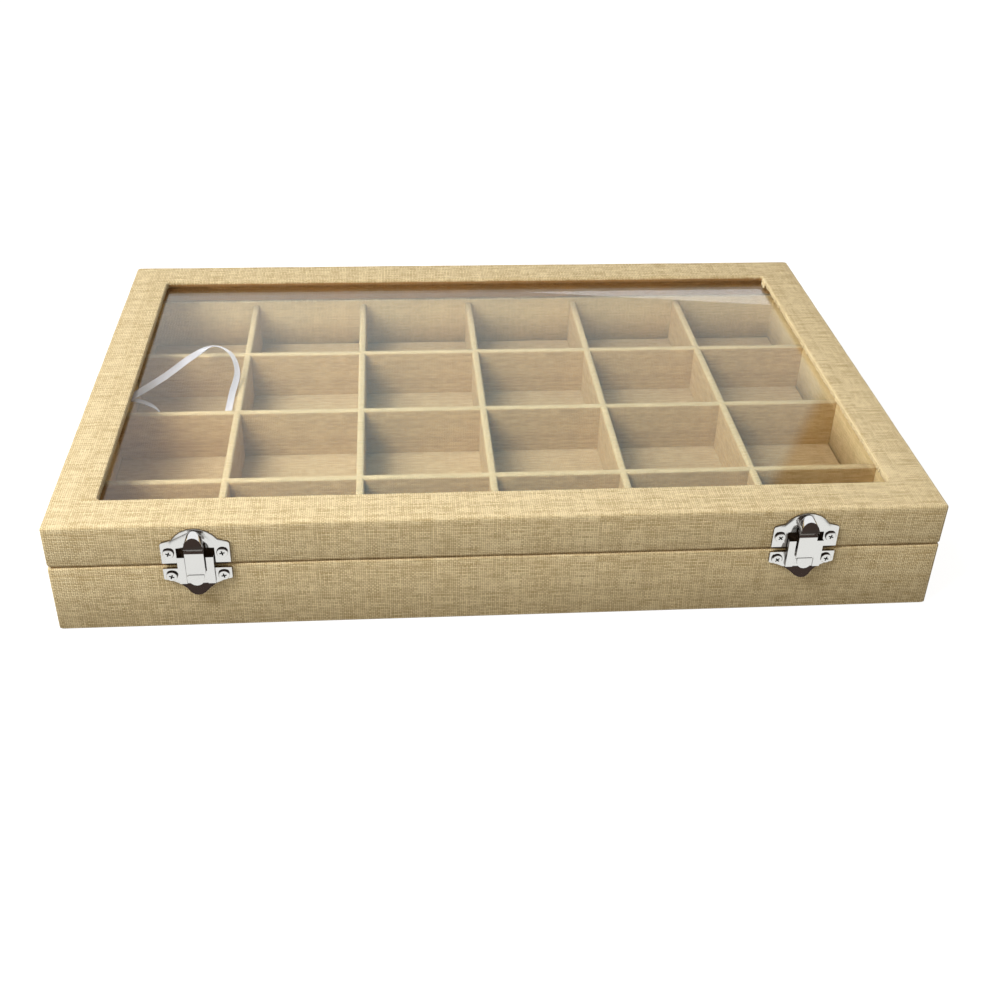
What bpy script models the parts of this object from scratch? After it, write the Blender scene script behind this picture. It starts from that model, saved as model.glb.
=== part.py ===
"""Display tray with a hinged glass lid: boards, slotted dividers, two spring latches, two hinges.

Frame: origin at the middle of the underside, +X along the length, +Y to the back (hinge side), +Z up.
The latches are on the front, at -Y. All lengths are in metres.
"""

import math

import bmesh
import bpy
import numpy as np
from mathutils import Matrix, Vector

# Outer box
BOX_LENGTH = 0.350
BOX_DEPTH = 0.240
TRAY_HEIGHT = 0.0304
LID_HEIGHT = 0.0170
SEAM_GAP = 0.0008
BOARD = 0.0055
BOARD_ROUNDING = 0.0009
SEAT = 0.0003
OVERRUN = 0.004

# Floor of the tray
BOTTOM_BOARD = 0.003
FLOOR_LINING = 0.0007

# Dividers: the long ones run along X and are slotted from below, the short ones from above
DIVIDER = 0.003
DIVIDER_DROP = 0.0032
DIVIDER_ROUNDING = 0.0007
LONG_DIVIDERS = 3
SHORT_DIVIDERS = 5

# Lid: wall boards, a top board with the window, the pane and the strips that hold it from below
TOP_BOARD = 0.003
SIDE_RAIL = 0.0172
FRONT_RAIL = 0.0178
WINDOW_CORNER_RADIUS = 0.0022
TOP_CORNER_RADIUS = 0.0012
GLASS = 0.002
GLASS_HIDDEN_EDGE = 0.0055
RETAINER = 0.0025
RETAINER_UNDER_GLASS = 0.0022

# Latch plates, with heights above the latch's lower tip and widths to each side of its middle
LATCH_INSET = 0.0566
LATCH_TIP_DROP = 0.0118
PLATE = 0.001
PLATE_HALF_WIDTH = 0.013
HOOK_PLATE_BOTTOM = 0.0125
HOOK_PLATE_SHOULDER = 0.0221
HOOK_ARCH_HALF_WIDTH = 0.0087
HOOK_ARCH_FOOT = 0.0231
HOOK_PLATE_TOP = 0.0279
NOTCH_CLEARANCE = 0.00035
NOTCH_TOP = 0.0194
HOOK_SCREW_HEIGHT = 0.0173
HOOK_SCREW_OFFSET = 0.0101
BASE_PLATE_TOP = 0.0100
SHIELD_SHOULDER = 0.0053
SHIELD_WIDTH_SHARES = (1.0, 0.97, 0.76, 0.54, 0.35, 0.21, 0.10)
SHIELD_DROP_SHARES = (0.0, 0.06, 0.20, 0.40, 0.66, 0.88, 0.98)
BASE_SCREW_HEIGHT = 0.0067
BASE_SCREW_OFFSET = 0.0099
FINGER_LIP_BEND = 0.0041
FINGER_LIP_REACH = 0.0037
FINGER_LIP_HEIGHT_SHARES = (0.0, 0.42, 0.72, 1.0)
FINGER_LIP_REACH_SHARES = (1.0, 0.42, 0.14, 0.0)

# Pressed hood of the hook plate
HOOD_HALF_WIDTH = 0.0037
HOOD_LIP_HEIGHT = 0.0218
HOOD_TOP = 0.0263
HOOD_LIP_REACH = 0.0060
HOOD_TOP_REACH = 0.0047
HOOD_BACK_HALF_WIDTH = 0.0032
HOOD_BACK_TOP = 0.0275
HOOD_WALL = 0.0007
HOOD_LIP = 0.0006
HOOD_LIP_INNER_REACH = 0.0033

# Raised channel of the base plate, which runs up into the hook plate's notch
CHANNEL_HALF_WIDTH = 0.00685
CHANNEL_BOTTOM = 0.0044
CHANNEL_TOP = 0.0167
CHANNEL_REACH = 0.0037
CHANNEL_WALL = 0.0007
CHANNEL_REAR_REACH = 0.0006
EAR = 0.0007
EAR_HALF_HEIGHT = 0.0021

# Latch lever, its pin and its leaf spring
LEVER_HALF_WIDTH = 0.0036
LEVER_SIDE_CLEARANCE = 0.0004
LEVER_SHEET = 0.0007
LEVER_FACE_REACH = 0.0050
LEVER_TOP = 0.0213
LEVER_TAB_BOTTOM = 0.0048
LEVER_TAB_LIFT = 0.0005
LEVER_TAB_HALF_WIDTH = 0.0030
LEVER_GROOVE_HEIGHT = 0.0099
LEVER_GROOVE = 0.0010
LEVER_GROOVE_DEPTH = 0.00025
NECK_HALF_WIDTH = 0.0020
NOSE = 0.0006
NOSE_REACH = 0.0037
PIVOT_HEIGHT = 0.0124
PIVOT_REACH = 0.00275
PIVOT_PIN_RADIUS = 0.00045
CHEEK_RADIUS = 0.00115
CHEEK_HALF_HEIGHT = 0.0032
SPRING_HALF_WIDTH = 0.0020
SPRING_SHEET = 0.00025
SPRING_FOOT_DROP = 0.0064
SPRING_BEND_RISE = 0.0014
SPRING_TIP_DROP = 0.0022

# Hinges on the back
HINGE_INSET = 0.075
HINGE_LENGTH = 0.025
HINGE_LEAF = 0.001
HINGE_LEAF_HEIGHT = 0.0125
HINGE_KNUCKLES = 3
KNUCKLE_RADIUS = 0.0016
KNUCKLE_REACH = 0.0021
KNUCKLE_GAP = 0.0003
HINGE_PIN_RADIUS = 0.0007
HINGE_PIN_HEAD_RADIUS = 0.0013
HINGE_PIN_HEAD = 0.0006
HINGE_SCREW_SPACING = 0.016
HINGE_SCREW_INSET = 0.0045

# Screws
LATCH_SCREW_HEAD_RADIUS = 0.0023
HINGE_SCREW_HEAD_RADIUS = 0.0018
SCREW_HEAD = 0.0007
CROWN_RADIUS_SHARE = 0.62
CROWN_DROP_SHARE = 0.12
RIM_SHARE = 0.35
SCREW_SHANK_RADIUS = 0.0008
SCREW_DEPTH = 0.0040
SCREW_POINT = 0.0008

# Ribbon stay: its two ends are glued to the left walls of the tray and the lid
RIBBON_WIDTH = 0.004
RIBBON_SHEET = 0.0004
RIBBON_STEP = 0.004
LOOK_AHEAD_SHARE = 0.05

SCREW_SIDES = 12
PIN_SIDES = 12
KNUCKLE_SIDES = 20
ARC_POINTS = 6
MERGE_DISTANCE = 0.000001

INNER_LENGTH = BOX_LENGTH - 2 * BOARD
INNER_DEPTH = BOX_DEPTH - 2 * BOARD
FLOOR_LEVEL = BOTTOM_BOARD + SEAT + FLOOR_LINING
DIVIDER_TOP = TRAY_HEIGHT - DIVIDER_DROP
LID_BOTTOM = TRAY_HEIGHT + SEAM_GAP
BOX_HEIGHT = LID_BOTTOM + LID_HEIGHT
TOP_BOARD_BOTTOM = BOX_HEIGHT - TOP_BOARD
WINDOW_HALF_LENGTH = BOX_LENGTH / 2 - SIDE_RAIL
WINDOW_HALF_DEPTH = BOX_DEPTH / 2 - FRONT_RAIL
LID_WALL_TOP = TOP_BOARD_BOTTOM - SEAT
GLASS_TOP = TOP_BOARD_BOTTOM - SEAT
GLASS_HALF_LENGTH = WINDOW_HALF_LENGTH + GLASS_HIDDEN_EDGE
GLASS_HALF_DEPTH = WINDOW_HALF_DEPTH + GLASS_HIDDEN_EDGE
RETAINER_TOP = GLASS_TOP - GLASS - SEAT
PLATE_FRONT = SEAT + PLATE
SLOT_HALF_WIDTH = LEVER_HALF_WIDTH + LEVER_SIDE_CLEARANCE
HINGE_AXIS_HEIGHT = TRAY_HEIGHT + SEAM_GAP / 2
LATCH_LEVEL = HINGE_AXIS_HEIGHT - LATCH_TIP_DROP
LATCH_PLACES = {"left": LATCH_INSET - BOX_LENGTH / 2, "right": BOX_LENGTH / 2 - LATCH_INSET}
HINGE_PLACES = {"left": HINGE_INSET - BOX_LENGTH / 2, "right": BOX_LENGTH / 2 - HINGE_INSET}


def clear_scene():
    """Remove every object that the file starts with."""
    for item in list(bpy.data.objects):
        bpy.data.objects.remove(item, do_unlink=True)


def new_collection(name):
    """Add a collection to the scene."""
    collection = bpy.data.collections.new(name)
    bpy.context.scene.collection.children.link(collection)
    return collection


clear_scene()
PARTS = new_collection("tray_with_lid")
CUTTERS = new_collection("cutters")


def new_material(name, color, roughness, metallic=0.0, transmission=0.0):
    """Return a plain Principled material."""
    material = bpy.data.materials.new(name)
    material.use_nodes = True
    shader = material.node_tree.nodes["Principled BSDF"]
    shader.inputs["Base Color"].default_value = (*color, 1.0)
    shader.inputs["Roughness"].default_value = roughness
    shader.inputs["Metallic"].default_value = metallic
    shader.inputs["Transmission Weight"].default_value = transmission
    return material


LINEN = new_material("linen_board", (0.62, 0.49, 0.29), 0.85)
LINING_LINEN = new_material("lining_linen", (0.50, 0.38, 0.23), 0.9)
NICKEL = new_material("bright_nickel", (0.80, 0.79, 0.77), 0.14, metallic=1.0)
CLEAR_GLASS = new_material("clear_glass", (0.95, 0.97, 0.97), 0.03, transmission=1.0)
SPRING_STEEL = new_material("spring_steel", (0.45, 0.45, 0.46), 0.3, metallic=1.0)
SATIN = new_material("white_satin", (0.86, 0.85, 0.88), 0.4)


def place(name, mesh, material, location=(0, 0, 0), rotation=(0, 0, 0)):
    """Put a mesh in the scene as a part."""
    item = bpy.data.objects.new(name, mesh)
    item.location = location
    item.rotation_euler = rotation
    mesh.materials.clear()
    mesh.materials.append(material)
    PARTS.objects.link(item)
    return item


def place_cutter(name, mesh, location=(0, 0, 0), rotation=(0, 0, 0)):
    """Put a mesh in the scene as a hidden guide for a Boolean."""
    item = bpy.data.objects.new(name, mesh)
    item.location = location
    item.rotation_euler = rotation
    item.hide_render = True
    item.display_type = "WIRE"
    CUTTERS.objects.link(item)
    return item


def combine(item, tool, operation):
    """Add an exact Boolean to a part."""
    modifier = item.modifiers.new(operation.lower() + "_" + tool.name, "BOOLEAN")
    modifier.object = tool
    modifier.operation = operation
    modifier.solver = "EXACT"


def soften(item, width, segments=2, angle=math.radians(40)):
    """Round the edges of a part."""
    modifier = item.modifiers.new("rounded_edges", "BEVEL")
    modifier.width = width
    modifier.segments = segments
    modifier.limit_method = "ANGLE"
    modifier.angle_limit = angle


def finished_mesh(name, bm):
    """Turn a bmesh into a mesh whose faces point outwards."""
    bmesh.ops.recalc_face_normals(bm, faces=bm.faces)
    mesh = bpy.data.meshes.new(name)
    bm.to_mesh(mesh)
    bm.free()
    return mesh


def box_mesh(name, low, high):
    """Return a box between two corners."""
    bm = bmesh.new()
    bmesh.ops.create_cube(bm, size=1)
    size = [high[i] - low[i] for i in range(3)]
    middle = [(high[i] + low[i]) / 2 for i in range(3)]
    bmesh.ops.scale(bm, vec=size, verts=bm.verts)
    bmesh.ops.translate(bm, vec=middle, verts=bm.verts)
    return finished_mesh(name, bm)


def rod_mesh(name, radius, length, centre, axis, sides=PIN_SIDES):
    """Return a cylinder along X or Z, through its centre."""
    turn = Matrix.Rotation(math.pi / 2, 4, "Y") if axis == "X" else Matrix.Identity(4)
    bm = bmesh.new()
    bmesh.ops.create_cone(
        bm, cap_ends=True, segments=sides, radius1=radius, radius2=radius, depth=length,
        matrix=Matrix.Translation(centre) @ turn)
    mesh = finished_mesh(name, bm)
    mesh.shade_smooth()
    mesh.set_sharp_from_angle(angle=math.radians(40))
    return mesh


def arc(centre, radius, start, end, points=ARC_POINTS):
    """Return points on an arc, in degrees, with unlike radii allowed."""
    radius_x, radius_y = radius if isinstance(radius, tuple) else (radius, radius)
    turns = [math.radians(start + (end - start) * i / (points - 1)) for i in range(points)]
    return [(centre[0] + radius_x * math.cos(t), centre[1] + radius_y * math.sin(t)) for t in turns]


def rounded_outline(low, high, radii, points=3):
    """Return a rectangle with rounded corners, anticlockwise from the low corner.

    radii are those of the low-low, high-low, high-high and low-high corners; zero leaves it square.
    """
    corners = ((low[0], low[1], 180), (high[0], low[1], 270), (high[0], high[1], 0), (low[0], high[1], 90))
    outline = []
    for (x, y, start), radius in zip(corners, radii):
        if radius == 0:
            outline.append((x, y))
            continue
        centre_x = x + radius if x == low[0] else x - radius
        centre_y = y + radius if y == low[1] else y - radius
        outline += arc((centre_x, centre_y), radius, start, start + 90, points)
    return outline


def plate_mesh(name, outlines, back, front):
    """Return a flat plate from closed outlines in local X and Y, between two local Z levels."""
    curve = bpy.data.curves.new(name, "CURVE")
    curve.dimensions = "2D"
    curve.fill_mode = "BOTH"
    curve.extrude = (front - back) / 2
    for outline in outlines:
        spline = curve.splines.new("POLY")
        spline.points.add(len(outline) - 1)
        for point, (x, y) in zip(spline.points, outline):
            point.co = (x, y, 0, 1)
        spline.use_cyclic_u = True
    guide = bpy.data.objects.new(name, curve)
    guide.location.z = (front + back) / 2
    bpy.context.scene.collection.objects.link(guide)
    graph = bpy.context.evaluated_depsgraph_get()
    raw = bpy.data.meshes.new_from_object(guide.evaluated_get(graph))
    bm = bmesh.new()
    bm.from_mesh(raw)
    bmesh.ops.remove_doubles(bm, verts=bm.verts, dist=MERGE_DISTANCE)
    bmesh.ops.transform(bm, matrix=guide.matrix_world, verts=bm.verts)
    bpy.data.objects.remove(guide, do_unlink=True)
    mesh = finished_mesh(name, bm)
    mesh.shade_smooth()
    mesh.set_sharp_from_angle(angle=math.radians(30))
    return mesh


def side_profile_mesh(name, profiles, half_width):
    """Return closed profiles in reach (Z) and height (Y), extruded to both sides along X."""
    turned = [[(-reach, height) for reach, height in profile] for profile in profiles]
    mesh = plate_mesh(name, turned, -half_width, half_width)
    mesh.transform(Matrix.Rotation(math.pi / 2, 4, "Y"))
    return mesh


def turned_mesh(name, profile, sides):
    """Return a turned solid from a profile of radius and height, through a Screw modifier."""
    mesh = bpy.data.meshes.new(name)
    mesh.from_pydata([(radius, 0, height) for radius, height in profile],
                     [(i, i + 1) for i in range(len(profile) - 1)], [])
    guide = bpy.data.objects.new(name, mesh)
    bpy.context.scene.collection.objects.link(guide)
    screw = guide.modifiers.new("turn", "SCREW")
    screw.steps = sides
    screw.render_steps = sides
    screw.use_merge_vertices = True
    screw.merge_threshold = MERGE_DISTANCE
    graph = bpy.context.evaluated_depsgraph_get()
    turned = bpy.data.meshes.new_from_object(guide.evaluated_get(graph))
    bpy.data.objects.remove(guide, do_unlink=True)
    turned.shade_smooth()
    turned.set_sharp_from_angle(angle=math.radians(50))
    return turned


def mitred_bar(name, section, half_length, material, side, gap=SEAT):
    """Place a bar with 45 degree ends along one side of the box.

    section holds (depth from the outer face, height). half_length is measured at the outer face.
    """
    bm = bmesh.new()
    ring = [bm.verts.new((depth + gap - half_length, depth, height)) for depth, height in section]
    end_face = bm.faces.new(ring)
    extruded = bmesh.ops.extrude_face_region(bm, geom=[end_face])
    for element in extruded["geom"]:
        if isinstance(element, bmesh.types.BMVert):
            element.co.x = -element.co.x
    sides = {
        "front": ((0, -BOX_DEPTH / 2, 0), 0),
        "back": ((0, BOX_DEPTH / 2, 0), math.pi),
        "left": ((-BOX_LENGTH / 2, 0, 0), -math.pi / 2),
        "right": ((BOX_LENGTH / 2, 0, 0), math.pi / 2),
    }
    location, turn = sides[side]
    return place(name, finished_mesh(name, bm), material, location, (0, 0, turn))


def side_half_length(side):
    """Return half the outer length of one side of the box."""
    return BOX_LENGTH / 2 if side in ("front", "back") else BOX_DEPTH / 2


def tray_boards():
    """Four mitred walls, the bottom board between them and the lining on it."""
    walls = {}
    section = rounded_outline(
        (0, 0), (BOARD, TRAY_HEIGHT), (BOARD_ROUNDING, 0, BOARD_ROUNDING, BOARD_ROUNDING))
    for side in ("front", "back", "left", "right"):
        walls[side] = mitred_bar("tray_wall_" + side, section, side_half_length(side), LINEN, side)
    half_length = INNER_LENGTH / 2 - SEAT
    half_depth = INNER_DEPTH / 2 - SEAT
    board = box_mesh("tray_bottom_board", (-half_length, -half_depth, 0),
                     (half_length, half_depth, BOTTOM_BOARD))
    place("tray_bottom_board", board, LINEN)
    lining = box_mesh("tray_floor_lining", (-half_length, -half_depth, BOTTOM_BOARD + SEAT),
                      (half_length, half_depth, FLOOR_LEVEL))
    place("tray_floor_lining", lining, LINING_LINEN)
    return walls


def divider_pitch(count, inner):
    """Return the spacing of dividers that share an inner width into equal compartments."""
    return (inner + DIVIDER) / (count + 1)


def divider_places(count, inner):
    """Return the middles of equally spaced dividers across an inner width."""
    return [divider_pitch(count, inner) * (i - (count - 1) / 2) for i in range(count)]


def slotted_divider(name, half_length, crossings, from_below, location, turn):
    """Place one divider: a board on edge with a halving slot at each crossing."""
    bottom = FLOOR_LEVEL + SEAT
    middle = (bottom + DIVIDER_TOP) / 2
    slot = DIVIDER / 2 + SEAT
    low, high = -half_length, half_length
    if from_below:
        edge = [(low, bottom)]
        for cross in crossings:
            edge += [(cross - slot, bottom), (cross - slot, middle + SEAT / 2),
                     (cross + slot, middle + SEAT / 2), (cross + slot, bottom)]
        outline = edge + [(high, bottom), (high, DIVIDER_TOP), (low, DIVIDER_TOP)]
    else:
        edge = [(high, DIVIDER_TOP)]
        for cross in reversed(crossings):
            edge += [(cross + slot, DIVIDER_TOP), (cross + slot, middle - SEAT / 2),
                     (cross - slot, middle - SEAT / 2), (cross - slot, DIVIDER_TOP)]
        outline = [(low, bottom), (high, bottom)] + edge + [(low, DIVIDER_TOP)]
    mesh = plate_mesh(name, [outline], -DIVIDER / 2, DIVIDER / 2)
    bm = bmesh.new()
    bm.from_mesh(mesh)
    top_edges = [edge for edge in bm.edges
                 if all(abs(vert.co.y - DIVIDER_TOP) < SEAT / 2 for vert in edge.verts)
                 and abs(edge.verts[0].co.z - edge.verts[1].co.z) < SEAT / 2]
    bmesh.ops.bevel(bm, geom=top_edges, offset=DIVIDER_ROUNDING, segments=2, profile=0.5,
                    affect="EDGES")
    mesh = finished_mesh(name, bm)
    mesh.transform(Matrix.Rotation(math.pi / 2, 4, "X"))
    return place(name, mesh, LINING_LINEN, location, (0, 0, turn))


def dividers():
    """The grid of long and short dividers, halved into each other."""
    long_places = divider_places(LONG_DIVIDERS, INNER_DEPTH)
    short_places = divider_places(SHORT_DIVIDERS, INNER_LENGTH)
    for number, y in enumerate(long_places, 1):
        slotted_divider("divider_long_" + str(number), INNER_LENGTH / 2 - SEAT, short_places,
                        True, (0, y, 0), 0)
    for number, x in enumerate(short_places, 1):
        slotted_divider("divider_short_" + str(number), INNER_DEPTH / 2 - SEAT, long_places,
                        False, (x, 0, 0), math.pi / 2)


def lid_boards():
    """Four mitred lid walls, the top board with its window, the pane and its four retainers."""
    walls = {}
    section = rounded_outline(
        (0, LID_BOTTOM), (BOARD, LID_WALL_TOP), (BOARD_ROUNDING, BOARD_ROUNDING, 0, 0))
    for side in ("front", "back", "left", "right"):
        walls[side] = mitred_bar("lid_wall_" + side, section, side_half_length(side), LINEN, side)
    outer = rounded_outline((-BOX_LENGTH / 2, -BOX_DEPTH / 2), (BOX_LENGTH / 2, BOX_DEPTH / 2),
                            (TOP_CORNER_RADIUS,) * 4)
    window = rounded_outline((-WINDOW_HALF_LENGTH, -WINDOW_HALF_DEPTH),
                             (WINDOW_HALF_LENGTH, WINDOW_HALF_DEPTH), (WINDOW_CORNER_RADIUS,) * 4, 4)
    top = place("lid_top_board",
                plate_mesh("lid_top_board", [outer, window], TOP_BOARD_BOTTOM, BOX_HEIGHT), LINEN)
    soften(top, BOARD_ROUNDING)
    glass = place("glass_pane", box_mesh(
        "glass_pane", (-GLASS_HALF_LENGTH, -GLASS_HALF_DEPTH, GLASS_TOP - GLASS),
        (GLASS_HALF_LENGTH, GLASS_HALF_DEPTH, GLASS_TOP)), CLEAR_GLASS)
    soften(glass, GLASS / 8, 1)
    for side in ("front", "back", "left", "right"):
        rail = FRONT_RAIL if side in ("front", "back") else SIDE_RAIL
        inner_edge = rail - GLASS_HIDDEN_EDGE + RETAINER_UNDER_GLASS
        section = rounded_outline((BOARD + SEAT, RETAINER_TOP - RETAINER), (inner_edge, RETAINER_TOP),
                                  (0, RETAINER / 4, RETAINER / 4, 0))
        mitred_bar("glass_retainer_" + side, section, side_half_length(side), LINING_LINEN, side)
    return walls


def front_frame(x):
    """Return the place and turn of a latch: local Y is up and local Z points out of the front."""
    return (x, -BOX_DEPTH / 2, LATCH_LEVEL), (math.pi / 2, 0, 0)


def back_frame(x):
    """Return the place and turn of a hinge: local Y is up and local Z points out of the back."""
    return (x, BOX_DEPTH / 2, 0), (math.pi / 2, 0, math.pi)


def screw(name, head_radius, offset, height, frame, wall, plate, material=NICKEL):
    """Place a low-headed screw and cut its holes in the plate and the wall behind it."""
    location, rotation = frame
    head_seat = PLATE_FRONT + SEAT
    head_top = head_seat + SCREW_HEAD
    tip = -SCREW_DEPTH
    profile = ((0, head_top), (head_radius * CROWN_RADIUS_SHARE, head_top - SCREW_HEAD * CROWN_DROP_SHARE),
               (head_radius, head_seat + SCREW_HEAD * RIM_SHARE), (head_radius, head_seat),
               (SCREW_SHANK_RADIUS, head_seat), (SCREW_SHANK_RADIUS, tip + SCREW_POINT), (0, tip))
    mesh = turned_mesh(name, profile, SCREW_SIDES)
    mesh.transform(Matrix.Translation((offset, height, 0)))
    place(name, mesh, material, location, rotation)
    depth = SCREW_DEPTH + SEAT
    hole = rod_mesh(name + "_hole", SCREW_SHANK_RADIUS + SEAT, PLATE_FRONT + OVERRUN + depth,
                    (offset, height, (PLATE_FRONT + OVERRUN - depth) / 2), "Z", SCREW_SIDES)
    cutter = place_cutter(name + "_hole", hole, location, rotation)
    combine(plate, cutter, "DIFFERENCE")
    combine(wall, cutter, "DIFFERENCE")


def arch_outline(half_width, foot, top, points=13):
    """Return a half ellipse over a straight foot, anticlockwise."""
    return arc((0, foot), (half_width, top - foot), 0, 180, points)


def hood_mesh(name, inset, foot):
    """Return the hood's body, or its hollow: a vault that rises to the plate from a leaning front."""
    half_width = HOOD_HALF_WIDTH - inset
    top = HOOD_TOP - inset
    back = 0 if inset else SEAT
    mesh = plate_mesh(name, [arch_outline(half_width, foot, top)], back, HOOD_LIP_REACH - inset)
    slope = (HOOD_LIP_REACH - HOOD_TOP_REACH) / (HOOD_TOP - HOOD_LIP_HEIGHT)
    narrowing = (HOOD_BACK_HALF_WIDTH - inset) / half_width
    rise = (HOOD_BACK_TOP - inset - foot) / (top - foot)
    for vert in mesh.vertices:
        if vert.co.z > HOOD_TOP_REACH / 2:
            vert.co.z -= slope * (vert.co.y - HOOD_LIP_HEIGHT)
        else:
            vert.co.x *= narrowing
            vert.co.y = foot + rise * (vert.co.y - foot)
    return mesh


def hook_plate(side, frame):
    """The lid's half of a latch: an arched plate with a pressed hood over a notch."""
    location, rotation = frame
    name = "latch_" + side + "_hook_plate"
    notch = CHANNEL_HALF_WIDTH + NOTCH_CLEARANCE
    rise = HOOK_PLATE_TOP - HOOK_ARCH_FOOT
    radius = (HOOK_ARCH_HALF_WIDTH ** 2 + rise ** 2) / (2 * rise)
    spread = math.degrees(math.asin(HOOK_ARCH_HALF_WIDTH / radius))
    arch = arc((0, HOOK_PLATE_TOP - radius), radius, 90 - spread, 90 + spread, 9)
    corner = PLATE
    right_ear = arc((PLATE_HALF_WIDTH - corner, HOOK_PLATE_SHOULDER - corner), corner, 0, 80, 3)
    left_ear = [(-u, h) for u, h in reversed(right_ear)]
    outline = [(-PLATE_HALF_WIDTH, HOOK_PLATE_BOTTOM), (-notch, HOOK_PLATE_BOTTOM), (-notch, NOTCH_TOP),
               (notch, NOTCH_TOP), (notch, HOOK_PLATE_BOTTOM), (PLATE_HALF_WIDTH, HOOK_PLATE_BOTTOM)]
    outline += right_ear + arch + left_ear
    plate = place(name, plate_mesh(name, [outline], SEAT, PLATE_FRONT), NICKEL, location, rotation)

    hood = hood_mesh(name + "_hood", 0, HOOD_LIP_HEIGHT)
    hollow = hood_mesh(name + "_hollow", HOOD_WALL, HOOD_LIP_HEIGHT + HOOD_LIP)
    mouth_bottom = min(NOTCH_TOP, HOOD_LIP_HEIGHT) - OVERRUN
    mouth = box_mesh(name + "_mouth", (-HOOD_HALF_WIDTH + HOOD_WALL, mouth_bottom, -OVERRUN),
                     (HOOD_HALF_WIDTH - HOOD_WALL, HOOD_LIP_HEIGHT + HOOD_LIP + SEAT, HOOD_LIP_INNER_REACH))
    room = LEVER_HALF_WIDTH + LEVER_SIDE_CLEARANCE
    lever_room = box_mesh(name + "_lever_room", (-room, mouth_bottom, -OVERRUN),
                          (room, LEVER_TOP + SEAT, PLATE_FRONT + OVERRUN))
    behind = box_mesh(name + "_behind", (-PLATE_HALF_WIDTH, HOOK_PLATE_BOTTOM - OVERRUN, -OVERRUN),
                      (PLATE_HALF_WIDTH, HOOK_PLATE_TOP + OVERRUN, SEAT))
    for mesh, operation in ((hood, "UNION"), (hollow, "DIFFERENCE"), (mouth, "DIFFERENCE"),
                            (lever_room, "DIFFERENCE"), (behind, "DIFFERENCE")):
        combine(plate, place_cutter(mesh.name, mesh, location, rotation), operation)
    return plate


def shield_outline():
    """Return the tray plate's outline: square shoulders that draw in to a rounded tip."""
    right = [(PLATE_HALF_WIDTH * width, SHIELD_SHOULDER * (1 - down))
             for width, down in zip(SHIELD_WIDTH_SHARES, SHIELD_DROP_SHARES)]
    left = [(-u, h) for u, h in right]
    top = [(PLATE_HALF_WIDTH, BASE_PLATE_TOP), (-PLATE_HALF_WIDTH, BASE_PLATE_TOP)]
    return left + [(0, 0)] + list(reversed(right)) + top


def bend_finger_lip(mesh):
    """Bend the shield's tip outwards in flat steps, so that a finger finds room behind the tab."""
    heights = [FINGER_LIP_BEND * share for share in FINGER_LIP_HEIGHT_SHARES]
    reaches = [FINGER_LIP_REACH * share for share in FINGER_LIP_REACH_SHARES]
    shield = bmesh.new()
    shield.from_mesh(mesh)
    for height in heights[1:]:
        geometry = shield.verts[:] + shield.edges[:] + shield.faces[:]
        bmesh.ops.bisect_plane(shield, geom=geometry, dist=MERGE_DISTANCE, plane_co=(0, height, 0),
                               plane_no=(0, 1, 0))
    for vert in shield.verts:
        vert.co.z += float(np.interp(vert.co.y, heights, reaches))
    shield.to_mesh(mesh)
    shield.free()


def base_plate(side, frame):
    """The tray's half of a latch: a lipped shield with a raised, slotted channel and two ears."""
    location, rotation = frame
    name = "latch_" + side + "_base_plate"
    shield = plate_mesh(name, [shield_outline()], SEAT, PLATE_FRONT)
    bend_finger_lip(shield)
    plate = place(name, shield, NICKEL, location, rotation)
    inner = CHANNEL_HALF_WIDTH - CHANNEL_WALL
    sides = []
    for sign in (-1, 1):
        near, far = sorted((sign * inner, sign * CHANNEL_HALF_WIDTH))
        sides.append(("side", (near, CHANNEL_BOTTOM, CHANNEL_REAR_REACH),
                      (far, CHANNEL_TOP, CHANNEL_REACH)))
        near, far = sorted((sign * SLOT_HALF_WIDTH, sign * CHANNEL_HALF_WIDTH))
        sides.append(("face", (near, CHANNEL_BOTTOM, CHANNEL_REACH - CHANNEL_WALL),
                      (far, CHANNEL_TOP, CHANNEL_REACH)))
        near, far = sorted((sign * SLOT_HALF_WIDTH, sign * (SLOT_HALF_WIDTH + EAR)))
        sides.append(("ear", (near, PIVOT_HEIGHT - EAR_HALF_HEIGHT, PLATE_FRONT - PLATE / 2),
                      (far, PIVOT_HEIGHT + EAR_HALF_HEIGHT, CHANNEL_REACH)))
    for number, (kind, low, high) in enumerate(sides):
        mesh = box_mesh(name + "_" + kind + str(number), low, high)
        combine(plate, place_cutter(mesh.name, mesh, location, rotation), "UNION")
    bore = rod_mesh(name + "_bore", PIVOT_PIN_RADIUS + SEAT, 2 * CHANNEL_HALF_WIDTH - 3 * CHANNEL_WALL,
                    (0, PIVOT_HEIGHT, PIVOT_REACH), "X")
    combine(plate, place_cutter(bore.name, bore, location, rotation), "DIFFERENCE")
    return plate


def lever_frame(x):
    """Return the lever's place, on its pivot axis, with the same turn as its latch."""
    return (x, -BOX_DEPTH / 2 - PIVOT_REACH, LATCH_LEVEL + PIVOT_HEIGHT), (math.pi / 2, 0, 0)


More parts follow.
